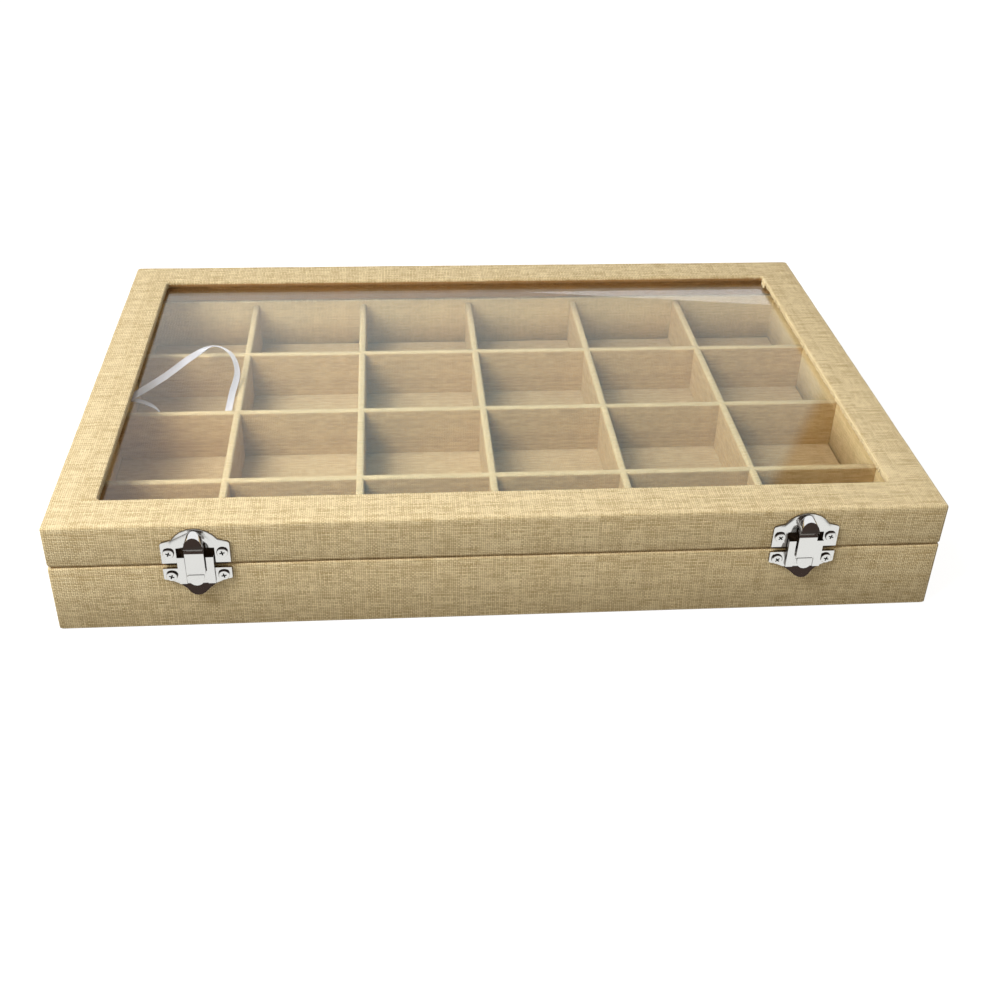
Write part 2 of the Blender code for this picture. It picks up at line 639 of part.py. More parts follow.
def latch_lever(side, x):
    """The lever: a folded sheet with a finger tab, two cheeks on the pin and a hooked nose."""
    location, rotation = lever_frame(x)
    name = "latch_" + side + "_lever"
    to_pivot = Matrix.Translation((0, -PIVOT_HEIGHT, -PIVOT_REACH))
    face = LEVER_FACE_REACH
    back = face - LEVER_SHEET
    neck_face = HOOD_LIP_INNER_REACH - SEAT
    neck_back = neck_face - LEVER_SHEET
    nose_bottom = HOOD_LIP_HEIGHT + HOOD_LIP + SEAT
    nose_top = nose_bottom + NOSE
    shoulder = LEVER_TOP - (face - neck_face)
    bend = LEVER_GROOVE_HEIGHT
    profile = ((face + LEVER_TAB_LIFT, LEVER_TAB_BOTTOM), (face, bend), (face, shoulder),
               (neck_face, LEVER_TOP), (neck_face, nose_bottom), (NOSE_REACH, nose_bottom),
               (neck_face, nose_top), (neck_back, nose_top), (neck_back, LEVER_TOP - LEVER_SHEET / 2),
               (back, shoulder - LEVER_SHEET / 2), (back, bend),
               (back + LEVER_TAB_LIFT, LEVER_TAB_BOTTOM))
    body = side_profile_mesh(name, [profile], LEVER_HALF_WIDTH + OVERRUN)
    body.transform(to_pivot)
    lever = place(name, body, NICKEL, location, rotation)

    round_middle = LEVER_TAB_BOTTOM + LEVER_TAB_HALF_WIDTH
    tab_top = bend - LEVER_GROOVE / 2
    outline = arc((0, round_middle), LEVER_TAB_HALF_WIDTH, 180, 360, 9)
    outline += [(LEVER_TAB_HALF_WIDTH, tab_top), (LEVER_HALF_WIDTH, tab_top + LEVER_GROOVE),
                (LEVER_HALF_WIDTH, LEVER_TOP), (NECK_HALF_WIDTH, LEVER_TOP),
                (NECK_HALF_WIDTH, nose_top + OVERRUN), (-NECK_HALF_WIDTH, nose_top + OVERRUN),
                (-NECK_HALF_WIDTH, LEVER_TOP), (-LEVER_HALF_WIDTH, LEVER_TOP),
                (-LEVER_HALF_WIDTH, tab_top + LEVER_GROOVE), (-LEVER_TAB_HALF_WIDTH, tab_top)]
    front = plate_mesh(name + "_front", [outline], -OVERRUN, face + OVERRUN)
    front.transform(to_pivot)
    combine(lever, place_cutter(front.name, front, location, rotation), "INTERSECT")
    groove = box_mesh(name + "_groove",
                      (-LEVER_HALF_WIDTH - OVERRUN, bend - LEVER_GROOVE / 2, face - LEVER_GROOVE_DEPTH),
                      (LEVER_HALF_WIDTH + OVERRUN, bend + LEVER_GROOVE / 2, face + OVERRUN))
    groove.transform(to_pivot)
    combine(lever, place_cutter(groove.name, groove, location, rotation), "DIFFERENCE")
    for sign in (-1, 1):
        edges = sorted((sign * (LEVER_HALF_WIDTH - LEVER_SHEET), sign * LEVER_HALF_WIDTH))
        cheek_outline = [(-face + LEVER_SHEET / 2, PIVOT_HEIGHT - CHEEK_HALF_HEIGHT)]
        cheek_outline += arc((-PIVOT_REACH, PIVOT_HEIGHT), CHEEK_RADIUS, -90, 90, 9)
        cheek_outline += [(-face + LEVER_SHEET / 2, PIVOT_HEIGHT + CHEEK_HALF_HEIGHT)]
        cheek = plate_mesh(name + "_cheek" + str(sign), [cheek_outline], edges[0], edges[1])
        cheek.transform(Matrix.Rotation(math.pi / 2, 4, "Y"))
        cheek.transform(to_pivot)
        combine(lever, place_cutter(cheek.name, cheek, location, rotation), "UNION")
    bore = rod_mesh(name + "_bore", PIVOT_PIN_RADIUS + SEAT, 2 * LEVER_HALF_WIDTH + OVERRUN,
                    (0, 0, 0), "X")
    combine(lever, place_cutter(bore.name, bore, location, rotation), "DIFFERENCE")
    return lever


def latch_pin(side, frame):
    """The pivot pin, held in the ears."""
    location, rotation = frame
    name = "latch_" + side + "_pin"
    half_length = (SLOT_HALF_WIDTH + EAR + CHANNEL_HALF_WIDTH - CHANNEL_WALL) / 2
    mesh = rod_mesh(name, PIVOT_PIN_RADIUS, 2 * half_length, (0, PIVOT_HEIGHT, PIVOT_REACH), "X")
    return place(name, mesh, NICKEL, location, rotation)


def latch_spring(side, frame):
    """The leaf spring: its foot lies on the base plate, and its tip pushes the lever's top out."""
    location, rotation = frame
    name = "latch_" + side + "_spring"
    foot = PLATE_FRONT + SEAT
    tip = LEVER_FACE_REACH - LEVER_SHEET - SEAT
    low = PIVOT_HEIGHT - SPRING_FOOT_DROP
    bend = PIVOT_HEIGHT + SPRING_BEND_RISE
    high = LEVER_TOP - SPRING_TIP_DROP
    profile = ((foot, low), (foot + SPRING_SHEET, low), (foot + SPRING_SHEET, bend), (tip, high),
               (tip - SPRING_SHEET, high + SPRING_SHEET), (foot, bend + SPRING_SHEET))
    mesh = side_profile_mesh(name, [profile], SPRING_HALF_WIDTH)
    return place(name, mesh, SPRING_STEEL, location, rotation)


def latches(tray_walls, lid_walls):
    """Both latches with their screws."""
    for side, x in LATCH_PLACES.items():
        frame = front_frame(x)
        hook = hook_plate(side, frame)
        base = base_plate(side, frame)
        latch_lever(side, x)
        latch_pin(side, frame)
        latch_spring(side, frame)
        for end, sign in (("left", -1), ("right", 1)):
            screw("latch_" + side + "_hook_screw_" + end, LATCH_SCREW_HEAD_RADIUS,
                  sign * HOOK_SCREW_OFFSET, HOOK_SCREW_HEIGHT, frame, lid_walls["front"], hook)
            screw("latch_" + side + "_base_screw_" + end, LATCH_SCREW_HEAD_RADIUS,
                  sign * BASE_SCREW_OFFSET, BASE_SCREW_HEIGHT, frame, tray_walls["front"], base)


def hinge_leaf(name, frame, upward, own_knuckles):
    """Place one leaf: a sheet rolled round the pin, then cut back beside its own knuckles."""
    location, rotation = frame
    turn = 1 if upward else -1
    front = SEAT + HINGE_LEAF
    meeting = math.degrees(math.acos((front - KNUCKLE_REACH) / KNUCKLE_RADIUS))
    barrel = arc((KNUCKLE_REACH, 0), KNUCKLE_RADIUS, 190, 360 + meeting, KNUCKLE_SIDES)
    loop = [(SEAT, HINGE_LEAF_HEIGHT), (SEAT, 0)] + barrel + [(front, HINGE_LEAF_HEIGHT)]
    step = 360 / KNUCKLE_SIDES
    bore = arc((KNUCKLE_REACH, 0), HINGE_PIN_RADIUS + SEAT, 0, 360 - step, KNUCKLE_SIDES)
    profiles = [[(reach, HINGE_AXIS_HEIGHT + turn * rise) for reach, rise in ring]
                for ring in (loop, bore)]
    mesh = side_profile_mesh(name, profiles, HINGE_LENGTH / 2)
    leaf = place(name, mesh, NICKEL, location, rotation)
    pitch = HINGE_LENGTH / HINGE_KNUCKLES
    cut_back = KNUCKLE_RADIUS + KNUCKLE_GAP
    for number in range(HINGE_KNUCKLES):
        if number in own_knuckles:
            continue
        low = -HINGE_LENGTH / 2 + pitch * number - (KNUCKLE_GAP / 2 if number else OVERRUN)
        last = number == HINGE_KNUCKLES - 1
        high = -HINGE_LENGTH / 2 + pitch * (number + 1) + (OVERRUN if last else KNUCKLE_GAP / 2)
        levels = sorted((HINGE_AXIS_HEIGHT - turn * OVERRUN, HINGE_AXIS_HEIGHT + turn * cut_back))
        slot = box_mesh(name + "_slot" + str(number), (low, levels[0], -OVERRUN),
                        (high, levels[1], KNUCKLE_REACH + OVERRUN))
        combine(leaf, place_cutter(slot.name, slot, location, rotation), "DIFFERENCE")
    return leaf


def hinge_pin(name, frame):
    """Place a hinge pin with a flat head at each end of the barrel."""
    location, rotation = frame
    reach = HINGE_LENGTH / 2 + SEAT
    end = reach + HINGE_PIN_HEAD
    profile = ((0, end), (HINGE_PIN_HEAD_RADIUS, end), (HINGE_PIN_HEAD_RADIUS, reach),
               (HINGE_PIN_RADIUS, reach), (HINGE_PIN_RADIUS, -reach),
               (HINGE_PIN_HEAD_RADIUS, -reach), (HINGE_PIN_HEAD_RADIUS, -end), (0, -end))
    mesh = turned_mesh(name, profile, PIN_SIDES)
    mesh.transform(Matrix.Rotation(math.pi / 2, 4, "Y"))
    mesh.transform(Matrix.Translation((0, HINGE_AXIS_HEIGHT, KNUCKLE_REACH)))
    return place(name, mesh, NICKEL, location, rotation)


def hinges(tray_walls, lid_walls):
    """Both hinges with their screws."""
    for side, x in HINGE_PLACES.items():
        frame = back_frame(x)
        name = "hinge_" + side
        lid_leaf = hinge_leaf(name + "_lid_leaf", frame, True, [1])
        tray_leaf = hinge_leaf(name + "_tray_leaf", frame, False, [0, 2])
        hinge_pin(name + "_pin", frame)
        inset = HINGE_LEAF_HEIGHT - HINGE_SCREW_INSET
        for end, sign in (("a", -1), ("b", 1)):
            offset = sign * HINGE_SCREW_SPACING / 2
            screw(name + "_lid_screw_" + end, HINGE_SCREW_HEAD_RADIUS, offset,
                  HINGE_AXIS_HEIGHT + inset, frame, lid_walls["back"], lid_leaf)
            screw(name + "_tray_screw_" + end, HINGE_SCREW_HEAD_RADIUS, offset,
                  HINGE_AXIS_HEIGHT - inset, frame, tray_walls["back"], tray_leaf)


# The ribbon's route, chosen by hand, as shares of the compartment at the left that it hangs into:
# from the wall, from the middle divider and from the floor. Beside each point is the direction of
# the ribbon's width there.
RIBBON_ROUTE_SHARES = (
    ((0.017, -0.064, 0.845), (0.0, 1.0, 0.1)),
    ((0.102, -0.042, 0.845), (-0.1, 1.0, 0.2)),
    ((0.361, 0.336, 0.845), (-0.4, 0.5, 0.7)),
    ((0.565, 0.718, 0.845), (-0.3, 0.8, 0.4)),
    ((0.731, 0.927, 0.845), (-0.1, 0.9, -0.3)),
    ((0.898, 0.809, 0.825), (0.5, 0.6, -0.4)),
    ((0.985, 0.518, 0.776), (0.7, 0.1, -0.6)),
    ((0.957, 0.264, 0.665), (0.8, 0.0, -0.5)),
    ((0.926, 0.100, 0.512), (0.9, -0.2, -0.2)),
    ((0.870, 0.064, 0.277), (0.8, 0.5, -0.1)),
    ((0.759, 0.109, 0.078), (0.3, 1.0, 0.0)),
    ((0.602, 0.136, 0.055), (0.0, 1.0, 0.0)),
    ((0.454, 0.100, 0.180), (-0.2, 1.0, -0.2)),
    ((0.398, 0.060, 0.416), (-0.4, 0.9, -0.1)),
    ((0.343, 0.064, 0.601), (-0.3, 0.9, -0.1)),
    ((0.231, 0.127, 0.659), (-0.1, 1.0, 0.0)),
    ((0.102, 0.173, 0.673), (0.0, 1.0, 0.0)),
    ((0.013, 0.176, 0.665), (0.0, 1.0, 0.0)),
)


def smooth_between(values, position):
    """Return the point at a position along a Catmull-Rom curve through a list of vectors."""
    last = len(values) - 1
    index = min(int(position), last - 1)
    t = position - index
    p0, p1 = values[max(index - 1, 0)], values[index]
    p2, p3 = values[index + 1], values[min(index + 2, last)]
    return 0.5 * (2 * p1 + (p2 - p0) * t + (2 * p0 - 5 * p1 + 4 * p2 - p3) * t ** 2
                  + (3 * p1 - p0 - 3 * p2 + p3) * t ** 3)


def ribbon_stay():
    """The lid's ribbon: a flat strip lofted along its route, twisting as it goes."""
    room = Vector((divider_pitch(SHORT_DIVIDERS, INNER_LENGTH) - DIVIDER,
                   divider_pitch(LONG_DIVIDERS, INNER_DEPTH) - DIVIDER,
                   RETAINER_TOP - RETAINER - FLOOR_LEVEL))
    behind = divider_places(LONG_DIVIDERS, INNER_DEPTH)[LONG_DIVIDERS // 2] + DIVIDER / 2
    corner = Vector((BOARD - BOX_LENGTH / 2, behind, FLOOR_LEVEL))
    points = [corner + Vector(shares) * room for shares, width in RIBBON_ROUTE_SHARES]
    widths = [Vector(width) for shares, width in RIBBON_ROUTE_SHARES]
    length = sum((b - a).length for a, b in zip(points, points[1:]))
    rings = int(length / RIBBON_STEP) + 1
    bm = bmesh.new()
    sections = []
    for ring in range(rings + 1):
        position = (len(points) - 1) * ring / rings
        middle = smooth_between(points, position)
        ahead = smooth_between(points, min(position + LOOK_AHEAD_SHARE, len(points) - 1))
        back = smooth_between(points, max(position - LOOK_AHEAD_SHARE, 0))
        along = (ahead - back).normalized()
        across = smooth_between(widths, position)
        across = (across - along * across.dot(along)).normalized()
        out = along.cross(across)
        corners = ((-1, -1), (1, -1), (1, 1), (-1, 1))
        sections.append([bm.verts.new(middle + across * (w * RIBBON_WIDTH / 2)
                                      + out * (t * RIBBON_SHEET / 2)) for w, t in corners])
    for near, far in zip(sections, sections[1:]):
        for i in range(4):
            bm.faces.new((near[i], near[(i + 1) % 4], far[(i + 1) % 4], far[i]))
    bm.faces.new(list(reversed(sections[0])))
    bm.faces.new(sections[-1])
    return place("ribbon_stay", finished_mesh("ribbon_stay", bm), SATIN)


TRAY_WALLS = tray_boards()
dividers()
LID_WALLS = lid_boards()
latches(TRAY_WALLS, LID_WALLS)
hinges(TRAY_WALLS, LID_WALLS)
ribbon_stay()
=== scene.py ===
"""Looks of a linen-covered display tray: cloth shells, divider grid, glass, nickel latches, ribbon.

Frame: metres, +X along the length, +Y to the hinges, +Z up, origin at the middle of the underside.
"""
import functools
import logging
import math
import random
from dataclasses import dataclass, field
from enum import Enum

import bmesh
import bpy
from mathutils import Matrix, Vector


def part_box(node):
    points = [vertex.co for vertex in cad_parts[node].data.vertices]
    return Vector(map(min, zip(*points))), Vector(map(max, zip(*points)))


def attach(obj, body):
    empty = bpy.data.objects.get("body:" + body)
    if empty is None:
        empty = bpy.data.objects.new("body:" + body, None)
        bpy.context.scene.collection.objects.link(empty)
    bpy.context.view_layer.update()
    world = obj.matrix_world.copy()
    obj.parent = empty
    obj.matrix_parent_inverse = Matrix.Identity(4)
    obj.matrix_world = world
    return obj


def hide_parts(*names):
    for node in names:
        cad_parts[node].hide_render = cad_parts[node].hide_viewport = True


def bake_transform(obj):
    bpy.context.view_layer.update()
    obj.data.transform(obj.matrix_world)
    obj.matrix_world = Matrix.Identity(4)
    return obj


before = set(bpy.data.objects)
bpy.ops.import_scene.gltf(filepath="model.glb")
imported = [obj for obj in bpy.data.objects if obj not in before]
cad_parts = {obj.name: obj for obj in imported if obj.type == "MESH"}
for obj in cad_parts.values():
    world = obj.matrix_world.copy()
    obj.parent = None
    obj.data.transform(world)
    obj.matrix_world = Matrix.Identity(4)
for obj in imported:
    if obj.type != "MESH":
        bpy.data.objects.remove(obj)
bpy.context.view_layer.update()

LOG = logging.getLogger("tray_with_lid")
SEAM_DROP = 0.0012  # how far the cloth edges at the seam lie below the boards' edges
MERGE_GAP = 0.00001  # vertices of a cloth-covered piece that are nearer than this are one
CLOTH_SHIFT = (0.31, 0.17)  # keeps the weave on a board's sides from repeating the top's
Point = tuple[float, float, float]
Color = tuple[float, float, float]
LONG_DIVIDERS = [f"divider_long_{i + 1}" for i in range(3)]
SHORT_DIVIDERS = [f"divider_short_{i + 1}" for i in range(5)]


class Body(Enum):
    """The CAD bodies that pieces ride on."""

    TRAY = "tray"
    LID = "lid"
    LEFT_LEVER = "latch_left_lever"
    RIGHT_LEVER = "latch_right_lever"


class Slot(Enum):
    """The record's material slots, passed with each new piece but not used."""

    BOARD = "linen_board"
    CARD = "linen_card"
    LINING = "linen_lining"
    NICKEL = "bright_nickel"
    STEEL = "spring_steel"
    SATIN = "white_satin"


class NodeSheet:
    """A node tree with short calls for adding and joining nodes."""

    def __init__(self, tree: bpy.types.NodeTree) -> None:
        """Keep the tree that the calls write to."""
        self.tree = tree

    def add(self, kind: str, inputs: dict | None = None, **settings: object) -> bpy.types.Node:
        """Add a node.

        Args:
            kind: the node's Blender type.
            inputs: values or sockets for its inputs, by name or index.
            settings: attributes of the node.

        Returns:
            The new node.
        """
        node = self.tree.nodes.new(kind)
        for name, value in settings.items():
            setattr(node, name, value)
        self.fill(node, inputs or {})
        return node

    def fill(self, node: bpy.types.Node, inputs: dict) -> None:
        """Fill a node's inputs, by name or index, with sockets or plain values."""
        for key, value in inputs.items():
            self.feed(node.inputs[key], value)

    def feed(self, socket: bpy.types.NodeSocket, value: object) -> None:
        """Link a socket, or set its value.

        Args:
            socket: the input to fill.
            value: another node's output, or a plain value.
        """
        if isinstance(value, bpy.types.NodeSocket):
            self.tree.links.new(value, socket)
        else:
            socket.default_value = value

    def math(self, operation: str, *values: object) -> bpy.types.NodeSocket:
        """Add a Math node.

        Args:
            operation: the Math node's operation.
            values: its operands, as sockets or numbers.

        Returns:
            Its result.
        """
        return self.add("ShaderNodeMath", dict(enumerate(values)), operation=operation).outputs[0]

    def vector(self, operation: str, *values: object) -> bpy.types.NodeSocket:
        """Add a Vector Math node.

        Args:
            operation: the node's operation.
            values: its operands, as sockets or triples.

        Returns:
            Its vector result, or its value for a dot product.
        """
        node = self.add("ShaderNodeVectorMath", dict(enumerate(values)), operation=operation)
        return node.outputs["Value" if operation == "DOT_PRODUCT" else "Vector"]

    def blend(self, share: object, a: object, b: object, mode: str = "MIX") -> bpy.types.NodeSocket:
        """Mix two colours.

        Args:
            share: how much of the second colour shows.
            a: first colour.
            b: second colour.
            mode: the blend type.

        Returns:
            The mixed colour.
        """
        node = self.add("ShaderNodeMix", {"Factor": share, "A": a, "B": b}, data_type="RGBA",
                        blend_type=mode, clamp_result=False)
        return node.outputs["Result"]

    def ramp(self, value: object, low: object, high: object, to_low: object = 0.0,
             to_high: object = 1.0) -> bpy.types.NodeSocket:
        """Map a value smoothly from one range to another.

        Args:
            value: the input value.
            low: where the range starts.
            high: where the range ends.
            to_low: result at the start.
            to_high: result at the end.

        Returns:
            The mapped value.
        """
        node = self.add("ShaderNodeMapRange", interpolation_type="SMOOTHSTEP", inputs={
            "Value": value, "From Min": low, "From Max": high, "To Min": to_low, "To Max": to_high})
        return node.outputs["Result"]

    def noise(self, vector: object, scale: object, detail: float = 2.0,
              roughness: float = 0.5) -> bpy.types.NodeSocket:
        """Add a noise texture.

        Args:
            vector: where it is read.
            scale: its scale.
            detail: number of octaves.
            roughness: how strong the finer octaves are.

        Returns:
            Its value.
        """
        node = self.add("ShaderNodeTexNoise", inputs={
            "Vector": vector, "Scale": scale, "Detail": detail, "Roughness": roughness})
        return node.outputs["Fac"]

    def combine(self, x: object, y: object, z: object) -> bpy.types.NodeSocket:
        """Join three values into a vector."""
        return self.add("ShaderNodeCombineXYZ", {"X": x, "Y": y, "Z": z}).outputs["Vector"]

    def axes(self, vector: object) -> bpy.types.NodeOutputs:
        """Split a vector into its values X, Y and Z."""
        return self.add("ShaderNodeSeparateXYZ", {"Vector": vector}).outputs

    def carried(self, name: str) -> bpy.types.NodeSocket:
        """Read a value that the mesh carries on its faces."""
        return self.add("ShaderNodeAttribute", attribute_name=name).outputs["Fac"]

    def cloth_place(self) -> bpy.types.NodeSocket:
        """Read the place along and across the cloth, from the mesh's own map."""
        return self.add("ShaderNodeUVMap", uv_map="cloth").outputs["UV"]

    def object_place(self) -> bpy.types.NodeSocket:
        """Read the place on the object."""
        return self.add("ShaderNodeTexCoord").outputs["Object"]

    def bump(self, height: object, distance: float, strength: float) -> bpy.types.NodeSocket:
        """Turn a height into a normal."""
        return self.add("ShaderNodeBump", {
            "Height": height, "Distance": distance, "Strength": strength}).outputs["Normal"]

    def surface(self, shader: bpy.types.NodeSocket) -> None:
        """Lead a shader to the material's output."""
        output = next(node for node in self.tree.nodes if node.type == "OUTPUT_MATERIAL")
        self.feed(output.inputs["Surface"], shader)


def new_group(name: str, inputs: dict[str, tuple[str, object]],
              outputs: dict[str, str]) -> tuple[NodeSheet, bpy.types.Node, bpy.types.Node]:
    """Start a shader node group.

    Args:
        name: the group's name.
        inputs: each input's socket type and default value.
        outputs: each output's socket type.

    Returns:
        The sheet to build on, and the group's input and output nodes.
    """
    tree = bpy.data.node_groups.new(name, "ShaderNodeTree")
    for label, (kind, value) in inputs.items():
        socket = tree.interface.new_socket(label, in_out="INPUT", socket_type=kind)
        if value is not None:
            socket.default_value = value
    for label, kind in outputs.items():
        tree.interface.new_socket(label, in_out="OUTPUT", socket_type=kind)
    sheet = NodeSheet(tree)
    return sheet, sheet.add("NodeGroupInput"), sheet.add("NodeGroupOutput")


FLOAT, COLOR, VECTOR = "NodeSocketFloat", "NodeSocketColor", "NodeSocketVector"
GEOMETRY = "NodeSocketGeometry"


@dataclass(frozen=True)
class ThreadTones:
    """How much the threads of one direction differ in tone, each on its own and along its slubs.

    The stretch says how quickly the slubs change along a thread.
    """

    own: float
    slub: float
    slub_top: float
    octaves: float
    stretch: float

    def tone(self, sheet: NodeSheet, number: object, place: object) -> bpy.types.NodeSocket:
        """Build the threads' tone.

        Args:
            sheet: the weave's sheet.
            number: each thread's number.
            place: where the slubs are read, constant across one thread.

        Returns:
            The tone, about 0.5 on average.
        """
        own = sheet.add("ShaderNodeTexWhiteNoise", {"W": number}, noise_dimensions="1D")
        slub = sheet.ramp(sheet.noise(place, 1.0, self.octaves, 0.6), 0.35, self.slub_top, 0.0, self.slub)
        return sheet.math("ADD", sheet.math("MULTIPLY", own.outputs["Value"], self.own), slub)


ROWS = ThreadTones(own=0.45, slub=0.75, slub_top=0.68, octaves=2.0, stretch=0.09)
COLUMNS = ThreadTones(own=0.5, slub=0.5, slub_top=0.7, octaves=1.0, stretch=0.12)


def build_weave() -> bpy.types.NodeTree:
    """Build the plain linen weave with its slubs, read in metres along the cloth.

    Returns:
        The node group.
    """
    sheet, source, sink = new_group(
        "linen_weave",
        {"Cloth": (VECTOR, None), "Thread": (FLOAT, 0.0007), "Light": (COLOR, (1, 1, 1, 1)),
         "Dark": (COLOR, (0, 0, 0, 1)), "Slub": (FLOAT, 0.5), "Contrast": (FLOAT, 1.0),
         "Cloudiness": (FLOAT, 0.3), "Streak": (FLOAT, 0.0)},
        {"Color": COLOR, "Height": FLOAT, "Roughness": FLOAT})
    put = source.outputs
    wander_scale, wander_reach = 130.0, 0.9
    crossing, mean_height = 0.25, 0.72
    mean_share, cloud_scale = 0.62, 38.0
    column_numbers, column_noise = 517.0, 7.0
    wander = sheet.math("MULTIPLY", sheet.noise(put["Cloth"], wander_scale, 1.0), wander_reach)
    threads = sheet.axes(sheet.vector("DIVIDE", put["Cloth"],
                                      sheet.combine(put["Thread"], put["Thread"], 1.0)))
    u = sheet.math("ADD", threads["X"], wander)
    v = sheet.math("ADD", threads["Y"], wander)
    wave_u = sheet.math("SINE", sheet.math("MULTIPLY", u, math.pi))
    wave_v = sheet.math("SINE", sheet.math("MULTIPLY", v, math.pi))
    over = sheet.ramp(sheet.math("MULTIPLY", wave_u, wave_v), -crossing, crossing)
    under = sheet.math("SUBTRACT", 1.0, over)
    height = sheet.math("ADD", sheet.math("MULTIPLY", sheet.math("ABSOLUTE", wave_u), under),
                        sheet.math("MULTIPLY", sheet.math("ABSOLUTE", wave_v), over))
    row, column = sheet.math("FLOOR", v), sheet.math("FLOOR", u)
    row_tone = ROWS.tone(sheet, row, sheet.combine(
        sheet.math("MULTIPLY", u, ROWS.stretch), row, 0.0))
    column_tone = COLUMNS.tone(
        sheet, sheet.math("FLOOR", sheet.math("ADD", u, column_numbers)),
        sheet.combine(column, sheet.math("MULTIPLY", v, COLUMNS.stretch), column_noise))
    tone = sheet.math("ADD", sheet.math("MULTIPLY", row_tone, over),
                      sheet.math("MULTIPLY", column_tone, under))
    tone = sheet.math("MULTIPLY", sheet.math("SUBTRACT", tone, 0.5), put["Slub"])
    depth = sheet.math("MULTIPLY", sheet.math("SUBTRACT", height, mean_height), put["Contrast"])
    cloud = sheet.math("SUBTRACT", sheet.noise(put["Cloth"], cloud_scale, 3.0), 0.5)
    cloud = sheet.math("MULTIPLY", cloud, put["Cloudiness"])
    streak = sheet.math("MULTIPLY", sheet.math("SUBTRACT", row_tone, 0.5), put["Streak"])
    share = sheet.math("ADD", sheet.math("ADD", sheet.math("ADD", mean_share, streak), depth),
                       sheet.math("ADD", tone, cloud))
    share = sheet.add("ShaderNodeClamp", {"Value": share}).outputs[0]
    sheet.fill(sink, {
        "Color": sheet.blend(share, put["Dark"], put["Light"]),
        "Height": sheet.math("ADD", height, sheet.math("MULTIPLY", tone, 0.8)),
        "Roughness": sheet.ramp(share, 0.0, 1.0, 0.95, 0.78)})
    return sheet.tree


def build_handling() -> bpy.types.NodeTree:
    """Build faint smudges and dust for smooth surfaces, read in metres.

    Returns:
        The node group.
    """
    sheet, source, sink = new_group(
        "handling_marks",
        {"Place": (VECTOR, None), "Base Roughness": (FLOAT, 0.1), "Smudge": (FLOAT, 0.1),
         "Size": (FLOAT, 90.0), "Tint": (COLOR, (1, 1, 1, 1)), "Soil": (COLOR, (0.5, 0.45, 0.4, 1)),
         "Soiling": (FLOAT, 0.1)},
        {"Color": COLOR, "Roughness": FLOAT, "Height": FLOAT})
    put = source.outputs
    smudge = sheet.ramp(sheet.noise(put["Place"], put["Size"], 3.0, 0.55), 0.42, 0.72)
    fine = sheet.noise(put["Place"], sheet.math("MULTIPLY", put["Size"], 9.0), 2.0)
    rough = sheet.math("ADD", put["Base Roughness"], sheet.math("MULTIPLY", smudge, put["Smudge"]))
    soil = sheet.math("MULTIPLY", sheet.ramp(fine, 0.5, 0.75), put["Soiling"])
    sheet.fill(sink, {
        "Color": sheet.blend(soil, put["Tint"], put["Soil"]), "Roughness": rough,
        "Height": sheet.math("ADD", smudge, sheet.math("MULTIPLY", fine, 0.2))})
    return sheet.tree


WEAVE = build_weave()
HANDLING = build_handling()


def blank_material(name: str) -> tuple[bpy.types.Material, NodeSheet, bpy.types.Node]:
    """Start a material.

    Args:
        name: the material's name.

    Returns:
        The material, the sheet to build on, and its Principled shader.
    """
    material = bpy.data.materials.new(name)
    material.use_nodes = True
    sheet = NodeSheet(material.node_tree)
    return material, sheet, material.node_tree.nodes["Principled BSDF"]


@dataclass(frozen=True)
class LinenFinish:
    """Natural linen, woven in the cloth's own UV map, in metres.

    The mesh's own "pale" values lead to its second pair of colours: on the cover's insides a calmer weave
    in darker colours, whose darkness is painted shade for the dim inside of the walls, and on a divider's
    upward faces paler colours, a painted highlight on its tops. Its other face values lead to a brown: a
    real stained line where the window's rim is glued, and painted shade over the lid's whole inside.
    """

    name: str
    light: Color = (0.96, 0.815, 0.52)
    dark: Color = (0.51, 0.37, 0.17)
    # A darker, calmer pair for the cover's insides: painted shade.
    pale_light: Color = (0.78, 0.59, 0.30)
    pale_dark: Color = (0.57, 0.41, 0.18)
    pale_contrast: float = 0.40
    thread: float = 0.00082
    slub: float = 0.80
    contrast: float = 1.0
    cloudiness: float = 0.25
    streak: float = 0.25
    relief: float = 0.00022
    # The brown of the glued rim's real stained line, also used as painted shade over the lid's inside.
    stain_and_shade: Color = (0.40, 0.19, 0.055)

    @functools.lru_cache(maxsize=None)
    def material(self) -> bpy.types.Material:
        """Make the cloth's material, once.

        Returns:
            The material.
        """
        material, sheet, shader = blank_material(self.name)
        # Second pair of colours: painted shade on the cover's insides, a painted highlight on a divider's
        # tops.
        pale = sheet.carried("pale")
        weave = sheet.add("ShaderNodeGroup", {
            "Cloth": sheet.cloth_place(), "Thread": self.thread,
            "Light": sheet.blend(pale, (*self.light, 1), (*self.pale_light, 1)),
            "Dark": sheet.blend(pale, (*self.dark, 1), (*self.pale_dark, 1)), "Slub": self.slub,
            "Contrast": sheet.ramp(pale, 0.0, 1.0, self.contrast, self.pale_contrast),
            "Cloudiness": self.cloudiness, "Streak": self.streak}, node_tree=WEAVE).outputs
        sheet.fill(shader, {
            # Mixes in the brown: the glued rim's real stained line, and painted shade over the lid's
            # inside.
            "Base Color": sheet.blend(sheet.carried("glue_and_shade"), weave["Color"], (*self.stain_and_shade, 1)),
            "Roughness": weave["Roughness"],
            "Normal": sheet.bump(weave["Height"], self.relief, 0.8),
            "Sheen Weight": 0.05, "Sheen Roughness": 0.5, "Specular IOR Level": 0.12})
        return material


